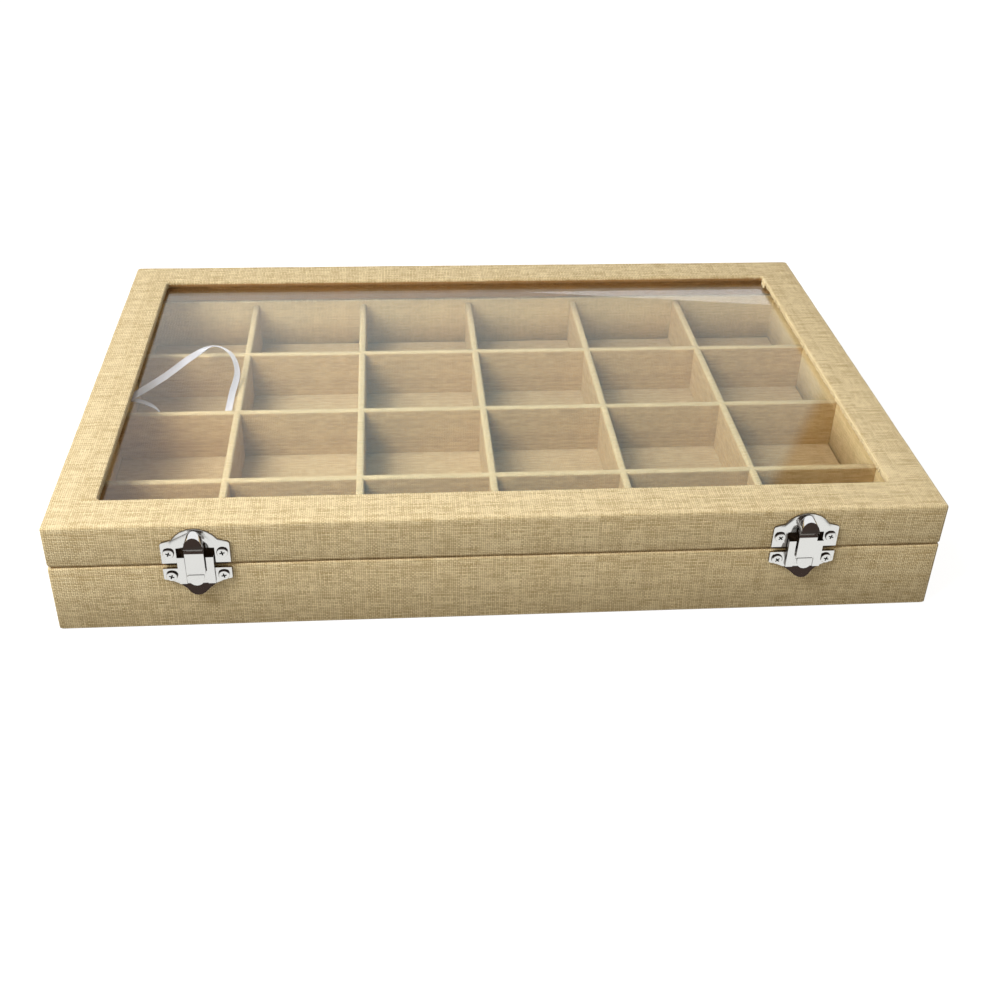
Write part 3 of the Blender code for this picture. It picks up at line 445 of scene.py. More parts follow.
@dataclass(frozen=True)
class MetalFinish:
    """Bright plated metal with faint handling marks.

    A value that the mesh carries on its faces leads to the dark colour: painted shade in recesses, grooves
    and undersides, and painted dark reflections on cut edges.
    """

    name: str
    tint: Color = (0.86, 0.845, 0.82)
    shade: Color = (0.07, 0.05, 0.04)
    roughness: float = 0.09
    smudge: float = 0.08
    smudge_scale: float = 240.0
    soiling: float = 0.10
    relief: float = 0.00003

    @functools.lru_cache(maxsize=None)
    def material(self) -> bpy.types.Material:
        """Make the metal's material, once.

        Returns:
            The material.
        """
        material, sheet, shader = blank_material(self.name)
        marks = sheet.add("ShaderNodeGroup", {
            "Place": sheet.object_place(), "Base Roughness": self.roughness,
            "Smudge": self.smudge, "Size": self.smudge_scale, "Tint": (*self.tint, 1),
            "Soiling": self.soiling}, node_tree=HANDLING).outputs
        # Painted shade and painted dark reflection: the mesh's values darken the plating towards the shade
        # colour.
        hollow = sheet.carried("hollow")
        sheet.fill(shader, {
            "Base Color": sheet.blend(hollow, marks["Color"], (*self.shade, 1)),
            "Roughness": sheet.math("ADD", marks["Roughness"], sheet.math("MULTIPLY", hollow, 0.25)),
            "Normal": sheet.bump(marks["Height"], self.relief, 0.35), "Metallic": 1.0})
        return material


@dataclass(frozen=True)
class GlassFinish:
    """Clear float glass with faint smudges; lamps shine through it."""

    name: str = "clear_pane"
    tint: Color = (0.97, 0.985, 0.98)
    smudge: float = 0.004
    smudge_scale: float = 22.0

    @functools.lru_cache(maxsize=None)
    def material(self) -> bpy.types.Material:
        """Make the glass material, once.

        Returns:
            The material.
        """
        material, sheet, shader = blank_material(self.name)
        marks = sheet.add("ShaderNodeGroup", {
            "Place": sheet.object_place(), "Base Roughness": 0.0, "Smudge": self.smudge,
            "Size": self.smudge_scale}, node_tree=HANDLING).outputs
        sheet.fill(shader, {"Base Color": (*self.tint, 1), "Roughness": marks["Roughness"],
                            "Transmission Weight": 1.0, "IOR": 1.5})
        clear = sheet.add("ShaderNodeBsdfTransparent", {"Color": (*self.tint, 1)})
        path = sheet.add("ShaderNodeLightPath")
        mix = sheet.add("ShaderNodeMixShader", {0: path.outputs["Is Shadow Ray"],
                                                1: shader.outputs["BSDF"], 2: clear.outputs["BSDF"]})
        sheet.surface(mix.outputs["Shader"])
        return material


@dataclass(frozen=True)
class SatinFinish:
    """White satin ribbon with fine ribs across it."""

    name: str = "white_ribbon"
    tint: Color = (0.54, 0.51, 0.55)
    low_share: float = 0.82
    rib: float = 0.0005

    @functools.lru_cache(maxsize=None)
    def material(self) -> bpy.types.Material:
        """Make the ribbon's material, once.

        Returns:
            The material.
        """
        material, sheet, shader = blank_material(self.name)
        cloth = sheet.cloth_place()
        ribs = sheet.math("SINE", sheet.math("MULTIPLY", sheet.axes(cloth)["X"],
                                             2 * math.pi / self.rib))
        uneven = sheet.noise(cloth, 600.0, 2.0)
        tone = sheet.math("ADD", sheet.math("MULTIPLY", ribs, 0.06),
                          sheet.math("MULTIPLY", uneven, 0.2))
        low = tuple(self.low_share * c for c in self.tint)
        sheet.fill(shader, {
            "Base Color": sheet.blend(sheet.math("ADD", 0.6, tone), (*low, 1), (*self.tint, 1)),
            "Roughness": sheet.ramp(uneven, 0.3, 0.7, 0.28, 0.42),
            "Normal": sheet.bump(ribs, 0.00002, 0.3), "Sheen Weight": 0.4})
        return material


COVER = LinenFinish("cover_cloth")
# The inside's cloths are darker than the cover's: painted shade for the dim light under the glass.
DIVIDER_CLOTH = LinenFinish("divider_cloth", light=(0.515, 0.340, 0.145), dark=(0.340, 0.205, 0.072),
                            pale_light=(0.56, 0.43, 0.235), pale_dark=(0.43, 0.31, 0.15),
                            contrast=0.35, slub=0.40, cloudiness=0.25, streak=0.60, relief=0.00012)
LINING = LinenFinish("lining_cloth", light=(0.515, 0.365, 0.185), dark=(0.345, 0.22, 0.093),
                     contrast=0.35, slub=0.40, cloudiness=0.25, streak=0.50, relief=0.00012)
FRINGE = LinenFinish("loose_threads", light=(0.90, 0.77, 0.50), dark=(0.70, 0.55, 0.30))
# Painted shade: near-black cloth for the deep shade behind the latch plates.
SHADE_SHEET = LinenFinish("shade_sheet", light=(0.075, 0.045, 0.025), dark=(0.03, 0.018, 0.012), thread=0.0003)
STRIPS = LinenFinish("brown_board", light=(0.50, 0.28, 0.11), dark=(0.30, 0.15, 0.05), contrast=0.5)
NICKEL = MetalFinish("nickel_plate")
STEEL = MetalFinish("dark_steel", tint=(0.5, 0.5, 0.5), roughness=0.28, smudge=0.1)


def linked(name: str, data: bpy.types.ID) -> bpy.types.Object:
    """Put new data in the scene as an object."""
    item = bpy.data.objects.new(name, data)
    bpy.context.scene.collection.objects.link(item)
    return item


def add_piece(name: str, mesh: bpy.types.Mesh, material: bpy.types.Material) -> bpy.types.Object:
    """Put a finished mesh in the scene.

    Args:
        name: the piece's name.
        mesh: its mesh, with the piece's place in it.
        material: its only material.

    Returns:
        The new object.
    """
    mesh.materials.clear()
    mesh.materials.append(material)
    return linked(name, mesh)


def settle(piece: bpy.types.Object, body: Body, slot: Slot, *nodes: str) -> bpy.types.Object:
    """Make a piece ride on a body and stand for CAD nodes.

    Args:
        piece: the finished object.
        body: the body that carries it.
        slot: the record's slot; not used.
        nodes: the CAD nodes that it replaces.

    Returns:
        The same object.
    """
    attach(piece, body.value)
    if nodes:
        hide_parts(*nodes)
    LOG.info("%s rides on %s", piece.name, body.value)
    return piece


def settle_between(piece: bpy.types.Object, near: Body, far: Body,
                   node: str) -> bpy.types.Object:
    """Make a piece bend between two bodies and stand for a CAD node.

    Args:
        piece: the finished object.
        near: the first body, which only the log names.
        far: the second body, which only the log names.
        far: the body that carries it above the second height.
        node: the CAD node that it replaces.

    Returns:
        The same object.
    """
    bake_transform(piece)
    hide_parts(node)
    LOG.info("%s bends between %s and %s", piece.name, near.value, far.value)
    return piece


def baked(piece: bpy.types.Object) -> bpy.types.Object:
    """Apply a piece's modifiers.

    Args:
        piece: an object with modifiers.

    Returns:
        The same object, with the plain result as its mesh.
    """
    graph = bpy.context.evaluated_depsgraph_get()
    mesh = bpy.data.meshes.new_from_object(piece.evaluated_get(graph))
    piece.modifiers.clear()
    piece.data = mesh
    return piece


def run_tree(piece: bpy.types.Object, tree: bpy.types.NodeTree, inputs: dict[str, object]) -> None:
    """Run a Geometry Nodes tree on a piece and keep the plain result.

    Args:
        piece: the object that holds the tree's base geometry.
        tree: the tree.
        inputs: its inputs by name, which are set by the sockets' identifiers.
    """
    modifier = piece.modifiers.new("tree", "NODES")
    modifier.node_group = tree
    for item in tree.interface.items_tree:
        if item.in_out == "INPUT" and item.name in inputs:
            modifier[item.identifier] = inputs[item.name]
    baked(piece)


def shell_mesh(bm: bmesh.types.BMesh, name: str) -> bpy.types.Mesh:
    """Turn a closed shell's faces outwards and make it a mesh.

    Args:
        bm: the shell, which is freed.
        name: the mesh's name.

    Returns:
        The new mesh.
    """
    bmesh.ops.recalc_face_normals(bm, faces=bm.faces)
    mesh = bpy.data.meshes.new(name)
    bm.to_mesh(mesh)
    bm.free()
    return mesh


def mend(mesh: bpy.types.Mesh, merge: float = 0.0, join_flat: bool = False) -> bpy.types.Mesh:
    """Merge a mesh's doubles, then join its flat faces or turn its faces outwards.

    Args:
        mesh: the mesh.
        merge: how near doubles are, or 0 for a mesh without any.
        join_flat: True for a copy of a CAD mesh, whose faces already point outwards.

    Returns:
        The same mesh.
    """
    bm = bmesh.new()
    bm.from_mesh(mesh)
    if merge:
        bmesh.ops.remove_doubles(bm, verts=bm.verts, dist=merge)
    if join_flat:
        bmesh.ops.dissolve_limit(bm, angle_limit=math.radians(1.0), verts=bm.verts, edges=bm.edges)
    else:
        bmesh.ops.recalc_face_normals(bm, faces=bm.faces)
    bm.to_mesh(mesh)
    bm.free()
    return mesh


def shade(mesh: bpy.types.Mesh, sharp: float) -> None:
    """Shade a mesh smooth, except over edges sharper than this many degrees."""
    mesh.shade_smooth()
    mesh.set_sharp_from_angle(angle=math.radians(sharp))


def round_edges(piece: bpy.types.Object, width: float, least: float, sharp: float) -> None:
    """Round over a piece's edges and shade it.

    Args:
        piece: the piece.
        width: how wide the rounding is.
        least: the least turn of an edge that is rounded, in degrees.
        sharp: the turn above which an edge still shows, in degrees.
    """
    bevel = piece.modifiers.new("edges", "BEVEL")
    bevel.width = width
    bevel.segments = 2
    bevel.limit_method = "ANGLE"
    bevel.angle_limit = math.radians(least)
    baked(piece)
    shade(piece.data, sharp)


def arc(centre: tuple[float, float], radius: float, start: float, end: float,
        points: int) -> list[tuple[float, float]]:
    """Return points on an arc, in degrees."""
    turns = [math.radians(start + (end - start) * i / (points - 1)) for i in range(points)]
    return [(centre[0] + radius * math.cos(t), centre[1] + radius * math.sin(t)) for t in turns]


@dataclass
class Stop:
    """One point of a cloth shell's section: its inset from the sides and from the front, its height,
    the corner radius there, and how far along the cloth it lies."""

    side: float
    front: float
    height: float
    radius: float
    run: float = 0.0


@dataclass
class ClothShell:
    """A closed ring of cloth-covered board round the box.

    Its surface is slightly uneven above the foot, and on the parts that lie further out than
    outer_share of its half sizes.
    """

    name: str
    half_length: float
    half_depth: float
    corner_points: int = 7
    side_steps: int = 60
    unevenness: float = 0.00012
    outer_share: float = 0.8
    foot: float = 0.001

    def measured(self, stops: list[Stop], start: int) -> list[Stop]:
        """Give each stop its run along the cloth.

        Args:
            stops: the section, in order.
            start: the stop at which the run is zero.

        Returns:
            The same stops.
        """
        stops[start].run = 0.0
        for low, high, sign in ((start, len(stops) - 1, 1), (start, 0, -1)):
            step = 1 if high >= low else -1
            for i in range(low, high, step):
                a, b = stops[i], stops[i + step]
                b.run = a.run + sign * math.hypot(b.side - a.side, b.height - a.height)
        return stops

    def station(self, stop: Stop) -> list[tuple[float, float, int]]:
        """Lay out the ring's points at one stop.

        Args:
            stop: the stop.

        Returns:
            The points, from the front left corner round to the right, each with its side's number.
        """
        half_x, half_y = self.half_length - stop.side, self.half_depth - stop.front
        ring = []
        corners = ((-1, -1, 180), (1, -1, 270), (1, 1, 0), (-1, 1, 90))
        for side, (sign_x, sign_y, angle) in enumerate(corners):
            centre = (sign_x * (half_x - stop.radius), sign_y * (half_y - stop.radius))
            bend = arc(centre, stop.radius, angle, angle + 90, self.corner_points)
            ring += [(x, y, side) for x, y in bend]
            next_x, next_y, _ = corners[(side + 1) % 4]
            goal = (next_x * (half_x - (stop.radius if side in (0, 2) else 0)),
                    next_y * (half_y - (stop.radius if side in (1, 3) else 0)))
            last = bend[-1]
            for i in range(1, self.side_steps):
                share = i / self.side_steps
                ring.append((last[0] + (goal[0] - last[0]) * share,
                             last[1] + (goal[1] - last[1]) * share, side))
        return ring

    def waver(self, x: float, y: float, height: float) -> float:
        """Return how far the padded cloth stands off its board here, as a sum of slow waves."""
        wave = math.sin(x * 210 + height * 90) + math.sin(y * 260 + 1.7) + math.sin((x + y) * 95 + 0.6)
        return self.unevenness * wave / 3

    def outward(self, stops: list[Stop], index: int) -> tuple[float, float]:
        """Find the section's outward direction at a stop.

        Args:
            stops: the closed section.
            index: the stop's number.

        Returns:
            The direction, as an inset and a height.
        """
        before, after = stops[index - 1], stops[(index + 1) % len(stops)]
        inset, height = after.side - before.side, after.height - before.height
        size = math.hypot(inset, height)
        return -height / size, inset / size

    def build(self, stops: list[Stop], around: bool, inside: int,
              stains: tuple[float, ...] = (0, 0, 0, 0), inside_shade: float = 0.0) -> bpy.types.Mesh:
        """Loft the section round the box and lay the cloth's map on it.

        Args:
            stops: the closed section, outside first.
            around: True if the cloth's long threads run round the box, False if they follow X.
            inside: the stop at which the inside starts, with its calmer weave and painted shade; the
                stained edge ends there.
            stains: how deep the stained line of the glued edge is on the front, right, back and left.
            inside_shade: how deep the painted shade is over the whole inside.

        Returns:
            The closed mesh, with its map in metres, its stained edge, and its faces of painted shade and
            pale colours marked.
        """
        bm = bmesh.new()
        layer = bm.loops.layers.uv.new("cloth")
        glue_and_shade = bm.faces.layers.float.new("glue_and_shade")
        pale = bm.faces.layers.float.new("pale")
        rings, verts = [], []
        for i, stop in enumerate(stops):
            ring = self.station(stop)
            out_inset, out_height = self.outward(stops, i)
            row = []
            for x, y, _ in ring:
                off = self.waver(x, y, stop.height)
                near_x = abs(x) > self.outer_share * self.half_length
                near_y = abs(y) > self.outer_share * self.half_depth
                row.append(bm.verts.new((
                    x - math.copysign(off * out_inset, x) * near_x,
                    y - math.copysign(off * out_inset, y) * near_y,
                    stop.height + off * out_height * (stop.height > self.foot))))
            rings.append(ring)
            verts.append(row)
        count = len(rings[0])
        middle = self.corner_points // 2
        per_side = self.corner_points + self.side_steps - 1
        highest = max(stop.height for stop in stops)
        for i, stop in enumerate(stops):
            after = (i + 1) % len(stops)
            wrap = stops[after].run
            if after == 0:
                wrap = stop.run + math.hypot(stop.side - stops[0].side, stop.height - stops[0].height)
            for j in range(count):
                side = ((j - middle) // per_side) % 4
                k = (j + 1) % count
                corners = ((i, j, stop.run), (i, k, stop.run), (after, k, wrap), (after, j, wrap))
                face = bm.faces.new([verts[a][b] for a, b, _ in corners])
                face.smooth = True
                # The glued edge gets its real stained line, and the whole inside painted shade in the same
                # brown; the inside's faces also get the pale pair, painted shade on the cover.
                face[glue_and_shade] = stains[side] if i == inside - 1 else inside_shade * (i >= inside)
                face[pale] = float(i >= inside)
                for loop, (a, b, run) in zip(face.loops, corners):
                    x, y, _ = rings[a][b]
                    drop = math.copysign(highest - stops[a].height, run)
                    loop[layer].uv = self.cloth_place(side, x, y, run if around else drop, around)
        return shell_mesh(bm, self.name)

    def cloth_place(self, side: int, x: float, y: float, run: float,
                    around: bool) -> tuple[float, float]:
        """Return the cloth's own coordinates of a point on one side.

        Args:
            side: 0 front, 1 right, 2 back, 3 left.
            x: the point's place along the box.
            y: the point's place across it.
            run: how far along the cloth it lies from the outer edge, inwards, or on a cloth laid
                flat over the top, how far it drops below the top, negative outside.
            around: True if the long threads run round the box.

        Returns:
            The place along the long threads, and across them.
        """
        if around:
            places = ((x, run - self.half_depth), (y + 0.7, run), (-x - 2 * self.half_length, run),
                      (-y - 0.9, run))
        else:
            places = ((x, y + run), (x - run, y), (x, y - run), (x + run, y))
        return places[side]


@dataclass
class TrayCover:
    """The tray's cloth-covered walls, as one continuous ring."""

    shell: ClothShell
    inner: float
    top: float
    edge: float = 0.0004
    corner: float = 0.0012
    inner_corner: float = 0.0006
    foot: tuple[float, float] = (0.0004, 0.0005)
    inner_foot: float = 0.0002

    def stops(self) -> list[Stop]:
        """Lay out the wall's section.

        Returns:
            Its stops, from the outer foot over the top to the inner foot, measured from the middle
            of the outer edge.
        """
        inset, height = self.foot
        stops = [Stop(inset, inset, 0.0, self.corner), Stop(0.0, 0.0, height, self.corner)]
        for inset, height in arc((self.edge, self.top - self.edge), self.edge, 180, 90, 5):
            stops.append(Stop(inset, inset, height, self.corner))
        edge_middle = len(stops) - 3
        for inset, height in arc((self.inner - self.edge, self.top - self.edge), self.edge, 90, 0, 5):
            stops.append(Stop(inset, inset, height, self.inner_corner))
        stops.append(Stop(self.inner, self.inner, self.inner_foot, self.inner_corner))
        return self.shell.measured(stops, edge_middle)

    def dress(self) -> bpy.types.Object:
        """Build the walls and put them in place of the CAD boards.

        Returns:
            The finished piece.
        """
        stops = self.stops()
        # The tray's inside faces get the pale pair of colours: painted shade.
        mesh = self.shell.build(stops, True, len(stops) - 2)
        piece = add_piece(self.shell.name, mesh, COVER.material())
        return settle(piece, Body.TRAY, Slot.BOARD, "tray_wall_front", "tray_wall_back",
                      "tray_wall_left", "tray_wall_right")


@dataclass
class LidCover:
    """The lid's cloth-covered frame: walls, top and window rim in one continuous ring."""

    shell: ClothShell
    inner: float
    bottom: float
    top: float
    underside: float
    side_rail: float
    front_rail: float
    edge: float = 0.0012
    rim_edge: float = 0.0006
    corner: float = 0.0012
    window_corner: float = 0.0022
    inner_corner: float = 0.0006
    hem: tuple[tuple[float, float], ...] = ((0.0009, 0.0), (0.0003, 0.0003), (0.0, 0.0010))
    inner_hem: float = 0.0006
    rail_shares: tuple[float, ...] = (0.3, 0.6, 0.85)
    clean_rim: float = 0.0014
    stains: tuple[float, ...] = (0.8, 0.0, 0.85, 0.0)
    # Painted shade over the lid's whole inside, in the brown of the glued edge.
    inside_shade: float = 0.8

    def stops(self) -> list[Stop]:
        """Lay out the frame's section.

        Returns:
            Its stops, from the outer hem over the top, down the window's rim and along the inside
            to the inner hem, measured from the top's outer end.
        """
        side, front, corner = self.side_rail, self.front_rail, self.window_corner
        stops = [Stop(inset, inset, self.bottom + rise, self.corner) for inset, rise in self.hem]
        for inset, height in arc((self.edge, self.top - self.edge), self.edge, 180, 90, 6):
            stops.append(Stop(inset, inset, height, self.corner))
        top_end = len(stops) - 1
        for share in self.rail_shares:
            stops.append(Stop(share * side, share * front, self.top,
                              (1 - share) * self.corner + share * corner))
        for inset, height in arc((-self.rim_edge, self.top - self.rim_edge), self.rim_edge, 90, 0, 5):
            stops.append(Stop(side + inset, front + inset, height, corner))
        for height in (self.top - self.clean_rim, self.underside):
            stops.append(Stop(side, front, height, corner))
        for inset, height in ((self.inner, self.underside), (self.inner, self.bottom + self.inner_hem),
                              (self.inner - self.inner_hem, self.bottom)):
            stops.append(Stop(inset, inset, height, self.inner_corner))
        return self.shell.measured(stops, top_end)

    def dress(self) -> bpy.types.Object:
        """Build the frame and put it in place of the CAD boards.

        Returns:
            The finished piece.
        """
        stops = self.stops()
        inside = next(i for i, stop in enumerate(stops)
                      if stop.side >= self.side_rail and stop.height == self.underside)
        mesh = self.shell.build(stops, False, inside, self.stains, self.inside_shade)
        piece = add_piece(self.shell.name, mesh, COVER.material())
        return settle(piece, Body.LID, Slot.BOARD, "lid_wall_front", "lid_wall_back",
                      "lid_wall_left", "lid_wall_right", "lid_top_board")


def lay_cloth(mesh: bpy.types.Mesh) -> None:
    """Write a cloth map in metres, each face seen along the axis that it faces most.

    Args:
        mesh: the mesh to map.
    """
    layer = mesh.uv_layers.get("cloth") or mesh.uv_layers.new(name="cloth")
    for polygon in mesh.polygons:
        normal = [abs(v) for v in polygon.normal]
        facing = normal.index(max(normal))
        for index in polygon.loop_indices:
            x, y, z = mesh.vertices[mesh.loops[index].vertex_index].co
            layer.data[index].uv = ((y + CLOTH_SHIFT[0], z), (x, z + CLOTH_SHIFT[1]), (x, y))[facing]


def mark_hollow(mesh: bpy.types.Mesh, shares: list[float]) -> None:
    """Write how much painted shade each face of a metal piece gets, which its material reads."""
    layer = mesh.attributes.get("hollow") or mesh.attributes.new("hollow", "FLOAT", "FACE")
    layer.data.foreach_set("value", shares)


def start_tree(name: str, inputs: dict[str, str]) -> tuple[NodeSheet, bpy.types.NodeOutputs]:
    """Start a Geometry Nodes tree.

    Args:
        name: the tree's name.
        inputs: each input's socket type, the base geometry's first.

    Returns:
        The sheet to build on, and the tree's inputs as sockets.
    """
    tree = bpy.data.node_groups.new(name, "GeometryNodeTree")
    for label, kind in inputs.items():
        tree.interface.new_socket(label, in_out="INPUT", socket_type=kind)
    tree.interface.new_socket("Result", in_out="OUTPUT", socket_type=GEOMETRY)
    sheet = NodeSheet(tree)
    return sheet, sheet.add("NodeGroupInput").outputs


def end_tree(sheet: NodeSheet, points: object, copied: object, material: object,
             **settings: object) -> bpy.types.NodeTree:
    """Set copies on points, make them real and give them their material.

    Args:
        sheet: the tree's sheet.
        points: where the copies go.
        copied: the geometry to copy.
        material: the copies' material.
        settings: the copies' Rotation and Scale, if they have any.

    Returns:
        The finished tree.
    """
    copies = sheet.add("GeometryNodeInstanceOnPoints", {
        "Points": points, "Instance": copied, **settings})
    real = sheet.add("GeometryNodeRealizeInstances", {"Geometry": copies.outputs["Instances"]})
    finish = sheet.add("GeometryNodeSetMaterial", {
        "Geometry": real.outputs["Geometry"], "Material": material})
    sheet.add("NodeGroupOutput", {"Result": finish.outputs["Geometry"]})
    return sheet.tree


@dataclass
class DividerGrid:
    """Cloth-covered dividers, swept and repeated by Geometry Nodes.

    The short ones lie lower by short_sink, so that no two faces coincide where they cross. Faces that face
    up more steeply than top_light_slope get the paler colours, a painted highlight on the tops.
    """

    thickness: float
    bottom: float
    top: float
    half_length: float
    half_depth: float
    long_places: list[float] = field(default_factory=list)
    short_places: list[float] = field(default_factory=list)
    edge: float = 0.0011
    sweep_points: int = 60
    short_sink: float = 0.00005
    sharp: float = 35.0
    top_light_slope: float = 0.4

    def tree(self) -> bpy.types.NodeTree:
        """Build the tree that sweeps a divider's section and repeats it at even steps.

        Returns:
            The Geometry Nodes tree, whose base geometry is the section's outline.
        """
        sheet, put = start_tree("divider_row", {
            "Section": GEOMETRY, "Start": VECTOR, "End": VECTOR, "Step": VECTOR,
            "Count": "NodeSocketInt", "Cloth": "NodeSocketMaterial"})
        outline = sheet.add("GeometryNodeMeshToCurve", {"Mesh": put["Section"]})
        path = sheet.add("GeometryNodeCurvePrimitiveLine", {"Start": put["Start"], "End": put["End"]})
        finer = sheet.add("GeometryNodeResampleCurve", {
            "Curve": path.outputs["Curve"], "Count": self.sweep_points})
        board = sheet.add("GeometryNodeCurveToMesh", {
            "Curve": finer.outputs["Curve"], "Profile Curve": outline.outputs["Curve"],
            "Fill Caps": True})
        places = sheet.add("GeometryNodeMeshLine", {"Count": put["Count"], "Offset": put["Step"]})
        return end_tree(sheet, places.outputs["Mesh"], board.outputs["Mesh"], put["Cloth"])

    def section(self, name: str) -> bpy.types.Mesh:
        """Lay out one divider's section as a loop of edges.

        Args:
            name: the mesh's name.

        Returns:
            The loop, across X and down Y, because a swept profile's Y comes out downwards.
        """
        half = self.thickness / 2
        points = [(half, self.bottom)]
        points += arc((half - self.edge, self.top - self.edge), self.edge, 0, 90, 5)
        points += arc((self.edge - half, self.top - self.edge), self.edge, 90, 180, 5)
        points += [(-half, self.bottom)]
        count = len(points)
        mesh = bpy.data.meshes.new(name)
        mesh.from_pydata([(x, -y, 0) for x, y in points], [(i, (i + 1) % count) for i in range(count)], [])
        return mesh

    def row(self, name: str, tree: bpy.types.NodeTree, inputs: dict[str, object]) -> bpy.types.Object:
        """Make one row of dividers into a plain mesh.

        Args:
            name: the piece's name.
            tree: the row's tree.
            inputs: its inputs, by name.

        Returns:
            The finished object, smooth, and paler over its top edges with a painted highlight.
        """
        row = linked(name, self.section(name))
        run_tree(row, tree, {**inputs, "Cloth": DIVIDER_CLOTH.material()})
        shade(mend(row.data, MERGE_GAP), self.sharp)
        lay_cloth(row.data)
        # Painted highlight: the upward faces get the paler colours.
        tops = row.data.attributes.new("pale", "FLOAT", "FACE")
        tops.data.foreach_set("value", [float(face.normal.z > self.top_light_slope)
                                        for face in row.data.polygons])
        return row

    def dress(self) -> list[bpy.types.Object]:
        """Build both rows and put them in place of the CAD dividers.

        Returns:
            The long and the short dividers.
        """
        tree = self.tree()
        y, x, low = self.long_places[0], self.short_places[0], -self.short_sink
        lengths = self.row("long_dividers", tree, {
            "Start": (-self.half_length, y, 0.0), "End": (self.half_length, y, 0.0),
            "Step": (0.0, self.long_places[1] - y, 0.0), "Count": len(self.long_places)})
        widths = self.row("short_dividers", tree, {
            "Start": (x, -self.half_depth, low), "End": (x, self.half_depth, low),
            "Step": (self.short_places[1] - x, 0.0, 0.0), "Count": len(self.short_places)})
        settle(lengths, Body.TRAY, Slot.CARD, *LONG_DIVIDERS)
        settle(widths, Body.TRAY, Slot.CARD, *SHORT_DIVIDERS)
        return [lengths, widths]


@dataclass
class PolishedPart:
    """A CAD metal piece with its sheet edges rounded over.

    Its band between two heights is dark with painted shade, and its cut edges are dark with painted shade
    and painted dark reflection where they are no deeper than dark_depth before its back. A piece that a
    body pushes rides on no body; its place is fixed in its mesh.
    """

    node: str
    body: Body
    finish: MetalFinish = NICKEL
    slot: Slot = Slot.NICKEL
    rounding: float = 0.00016
    dark_band: tuple[float, float] = (0.0, 0.0)
    dark_depth: float = 0.0
    pushed_by: Body | None = None
    merge_gap: float = 0.000004
    least: float = 38.0
    sharp: float = 26.0
    facing: float = 0.3
    band_shade: float = 0.9
    edge_shade: float = 0.8

    def shades(self, mesh: bpy.types.Mesh) -> list[float]:
        """Find how much painted shade each face gets: the bent band, undersides and the sheet's cut edges,
        dark as painted shade and painted dark reflection.

        Args:
            mesh: the rounded mesh.

        Returns:
            One value for each face.
        """
        low, high = self.dark_band
        back = max(vertex.co.y for vertex in mesh.vertices)
        shares = []
        # Painted shade and painted dark reflection on the band, the undersides and the cut edges.
        for face in mesh.polygons:
            in_sheet = face.center.y > back - self.dark_depth
            cut_edge = abs(face.normal.y) < self.facing and (face.normal.z < self.facing or in_sheet)
            in_band = low < face.center.z < high and abs(face.normal.z) > self.facing
            shares.append(self.band_shade if in_band else self.edge_shade * cut_edge)
        return shares

    def dress(self) -> bpy.types.Object:
        """Copy the CAD piece, round its edges and shade it smooth.

        Returns:
            The finished piece.
        """
        mesh = mend(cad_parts[self.node].data.copy(), self.merge_gap, join_flat=True)
        piece = add_piece(self.node + "_polished", mesh, self.finish.material())
        round_edges(piece, self.rounding, self.least, self.sharp)
        mark_hollow(piece.data, self.shades(piece.data))
        if self.pushed_by is None:
            return settle(piece, self.body, self.slot, self.node)
        return settle_between(piece, self.body, self.pushed_by,
                              self.node)


class Scatter:
    """Geometry Nodes that set copies of one small object on points with a turn and a size each."""

    def __init__(self) -> None:
        """Build the tree once."""
        sheet, put = start_tree("set_on_places", {
            "Places": GEOMETRY, "Copied": "NodeSocketObject", "Finish": "NodeSocketMaterial"})
        copied = sheet.add("GeometryNodeObjectInfo", {"Object": put["Copied"]})
        turn = sheet.add("GeometryNodeInputNamedAttribute", {"Name": "turn"}, data_type="FLOAT_VECTOR")
        size = sheet.add("GeometryNodeInputNamedAttribute", {"Name": "size"}, data_type="FLOAT")
        self.tree = end_tree(sheet, put["Places"], copied.outputs["Geometry"], put["Finish"],
                             Rotation=turn.outputs["Attribute"], Scale=size.outputs["Attribute"])

    def make(self, name: str, places: list[Point], turns: list[Point], sizes: list[float],
             copied: bpy.types.Object, finish: bpy.types.Material) -> bpy.types.Object:
        """Set copies on places and make the result into a plain mesh.

        Args:
            name: the piece's name.
            places: where the copies stand.
            turns: how each is turned.
            sizes: how large each is.
            copied: the object to copy, which is removed afterwards.
            finish: the copies' material.

        Returns:
            The finished piece.
        """
        mesh = bpy.data.meshes.new(name)
        mesh.from_pydata(places, [], [])
        mesh.attributes.new("turn", "FLOAT_VECTOR", "POINT").data.foreach_set(
            "vector", [v for turn in turns for v in turn])
        mesh.attributes.new("size", "FLOAT", "POINT").data.foreach_set("value", sizes)
        piece = linked(name, mesh)
        run_tree(piece, self.tree, {"Copied": copied, "Finish": finish})
        for spare in ("turn", "size"):
            if spare in piece.data.attributes:
                piece.data.attributes.remove(piece.data.attributes[spare])
        bpy.data.objects.remove(copied, do_unlink=True)
        return piece


SCATTER = Scatter()


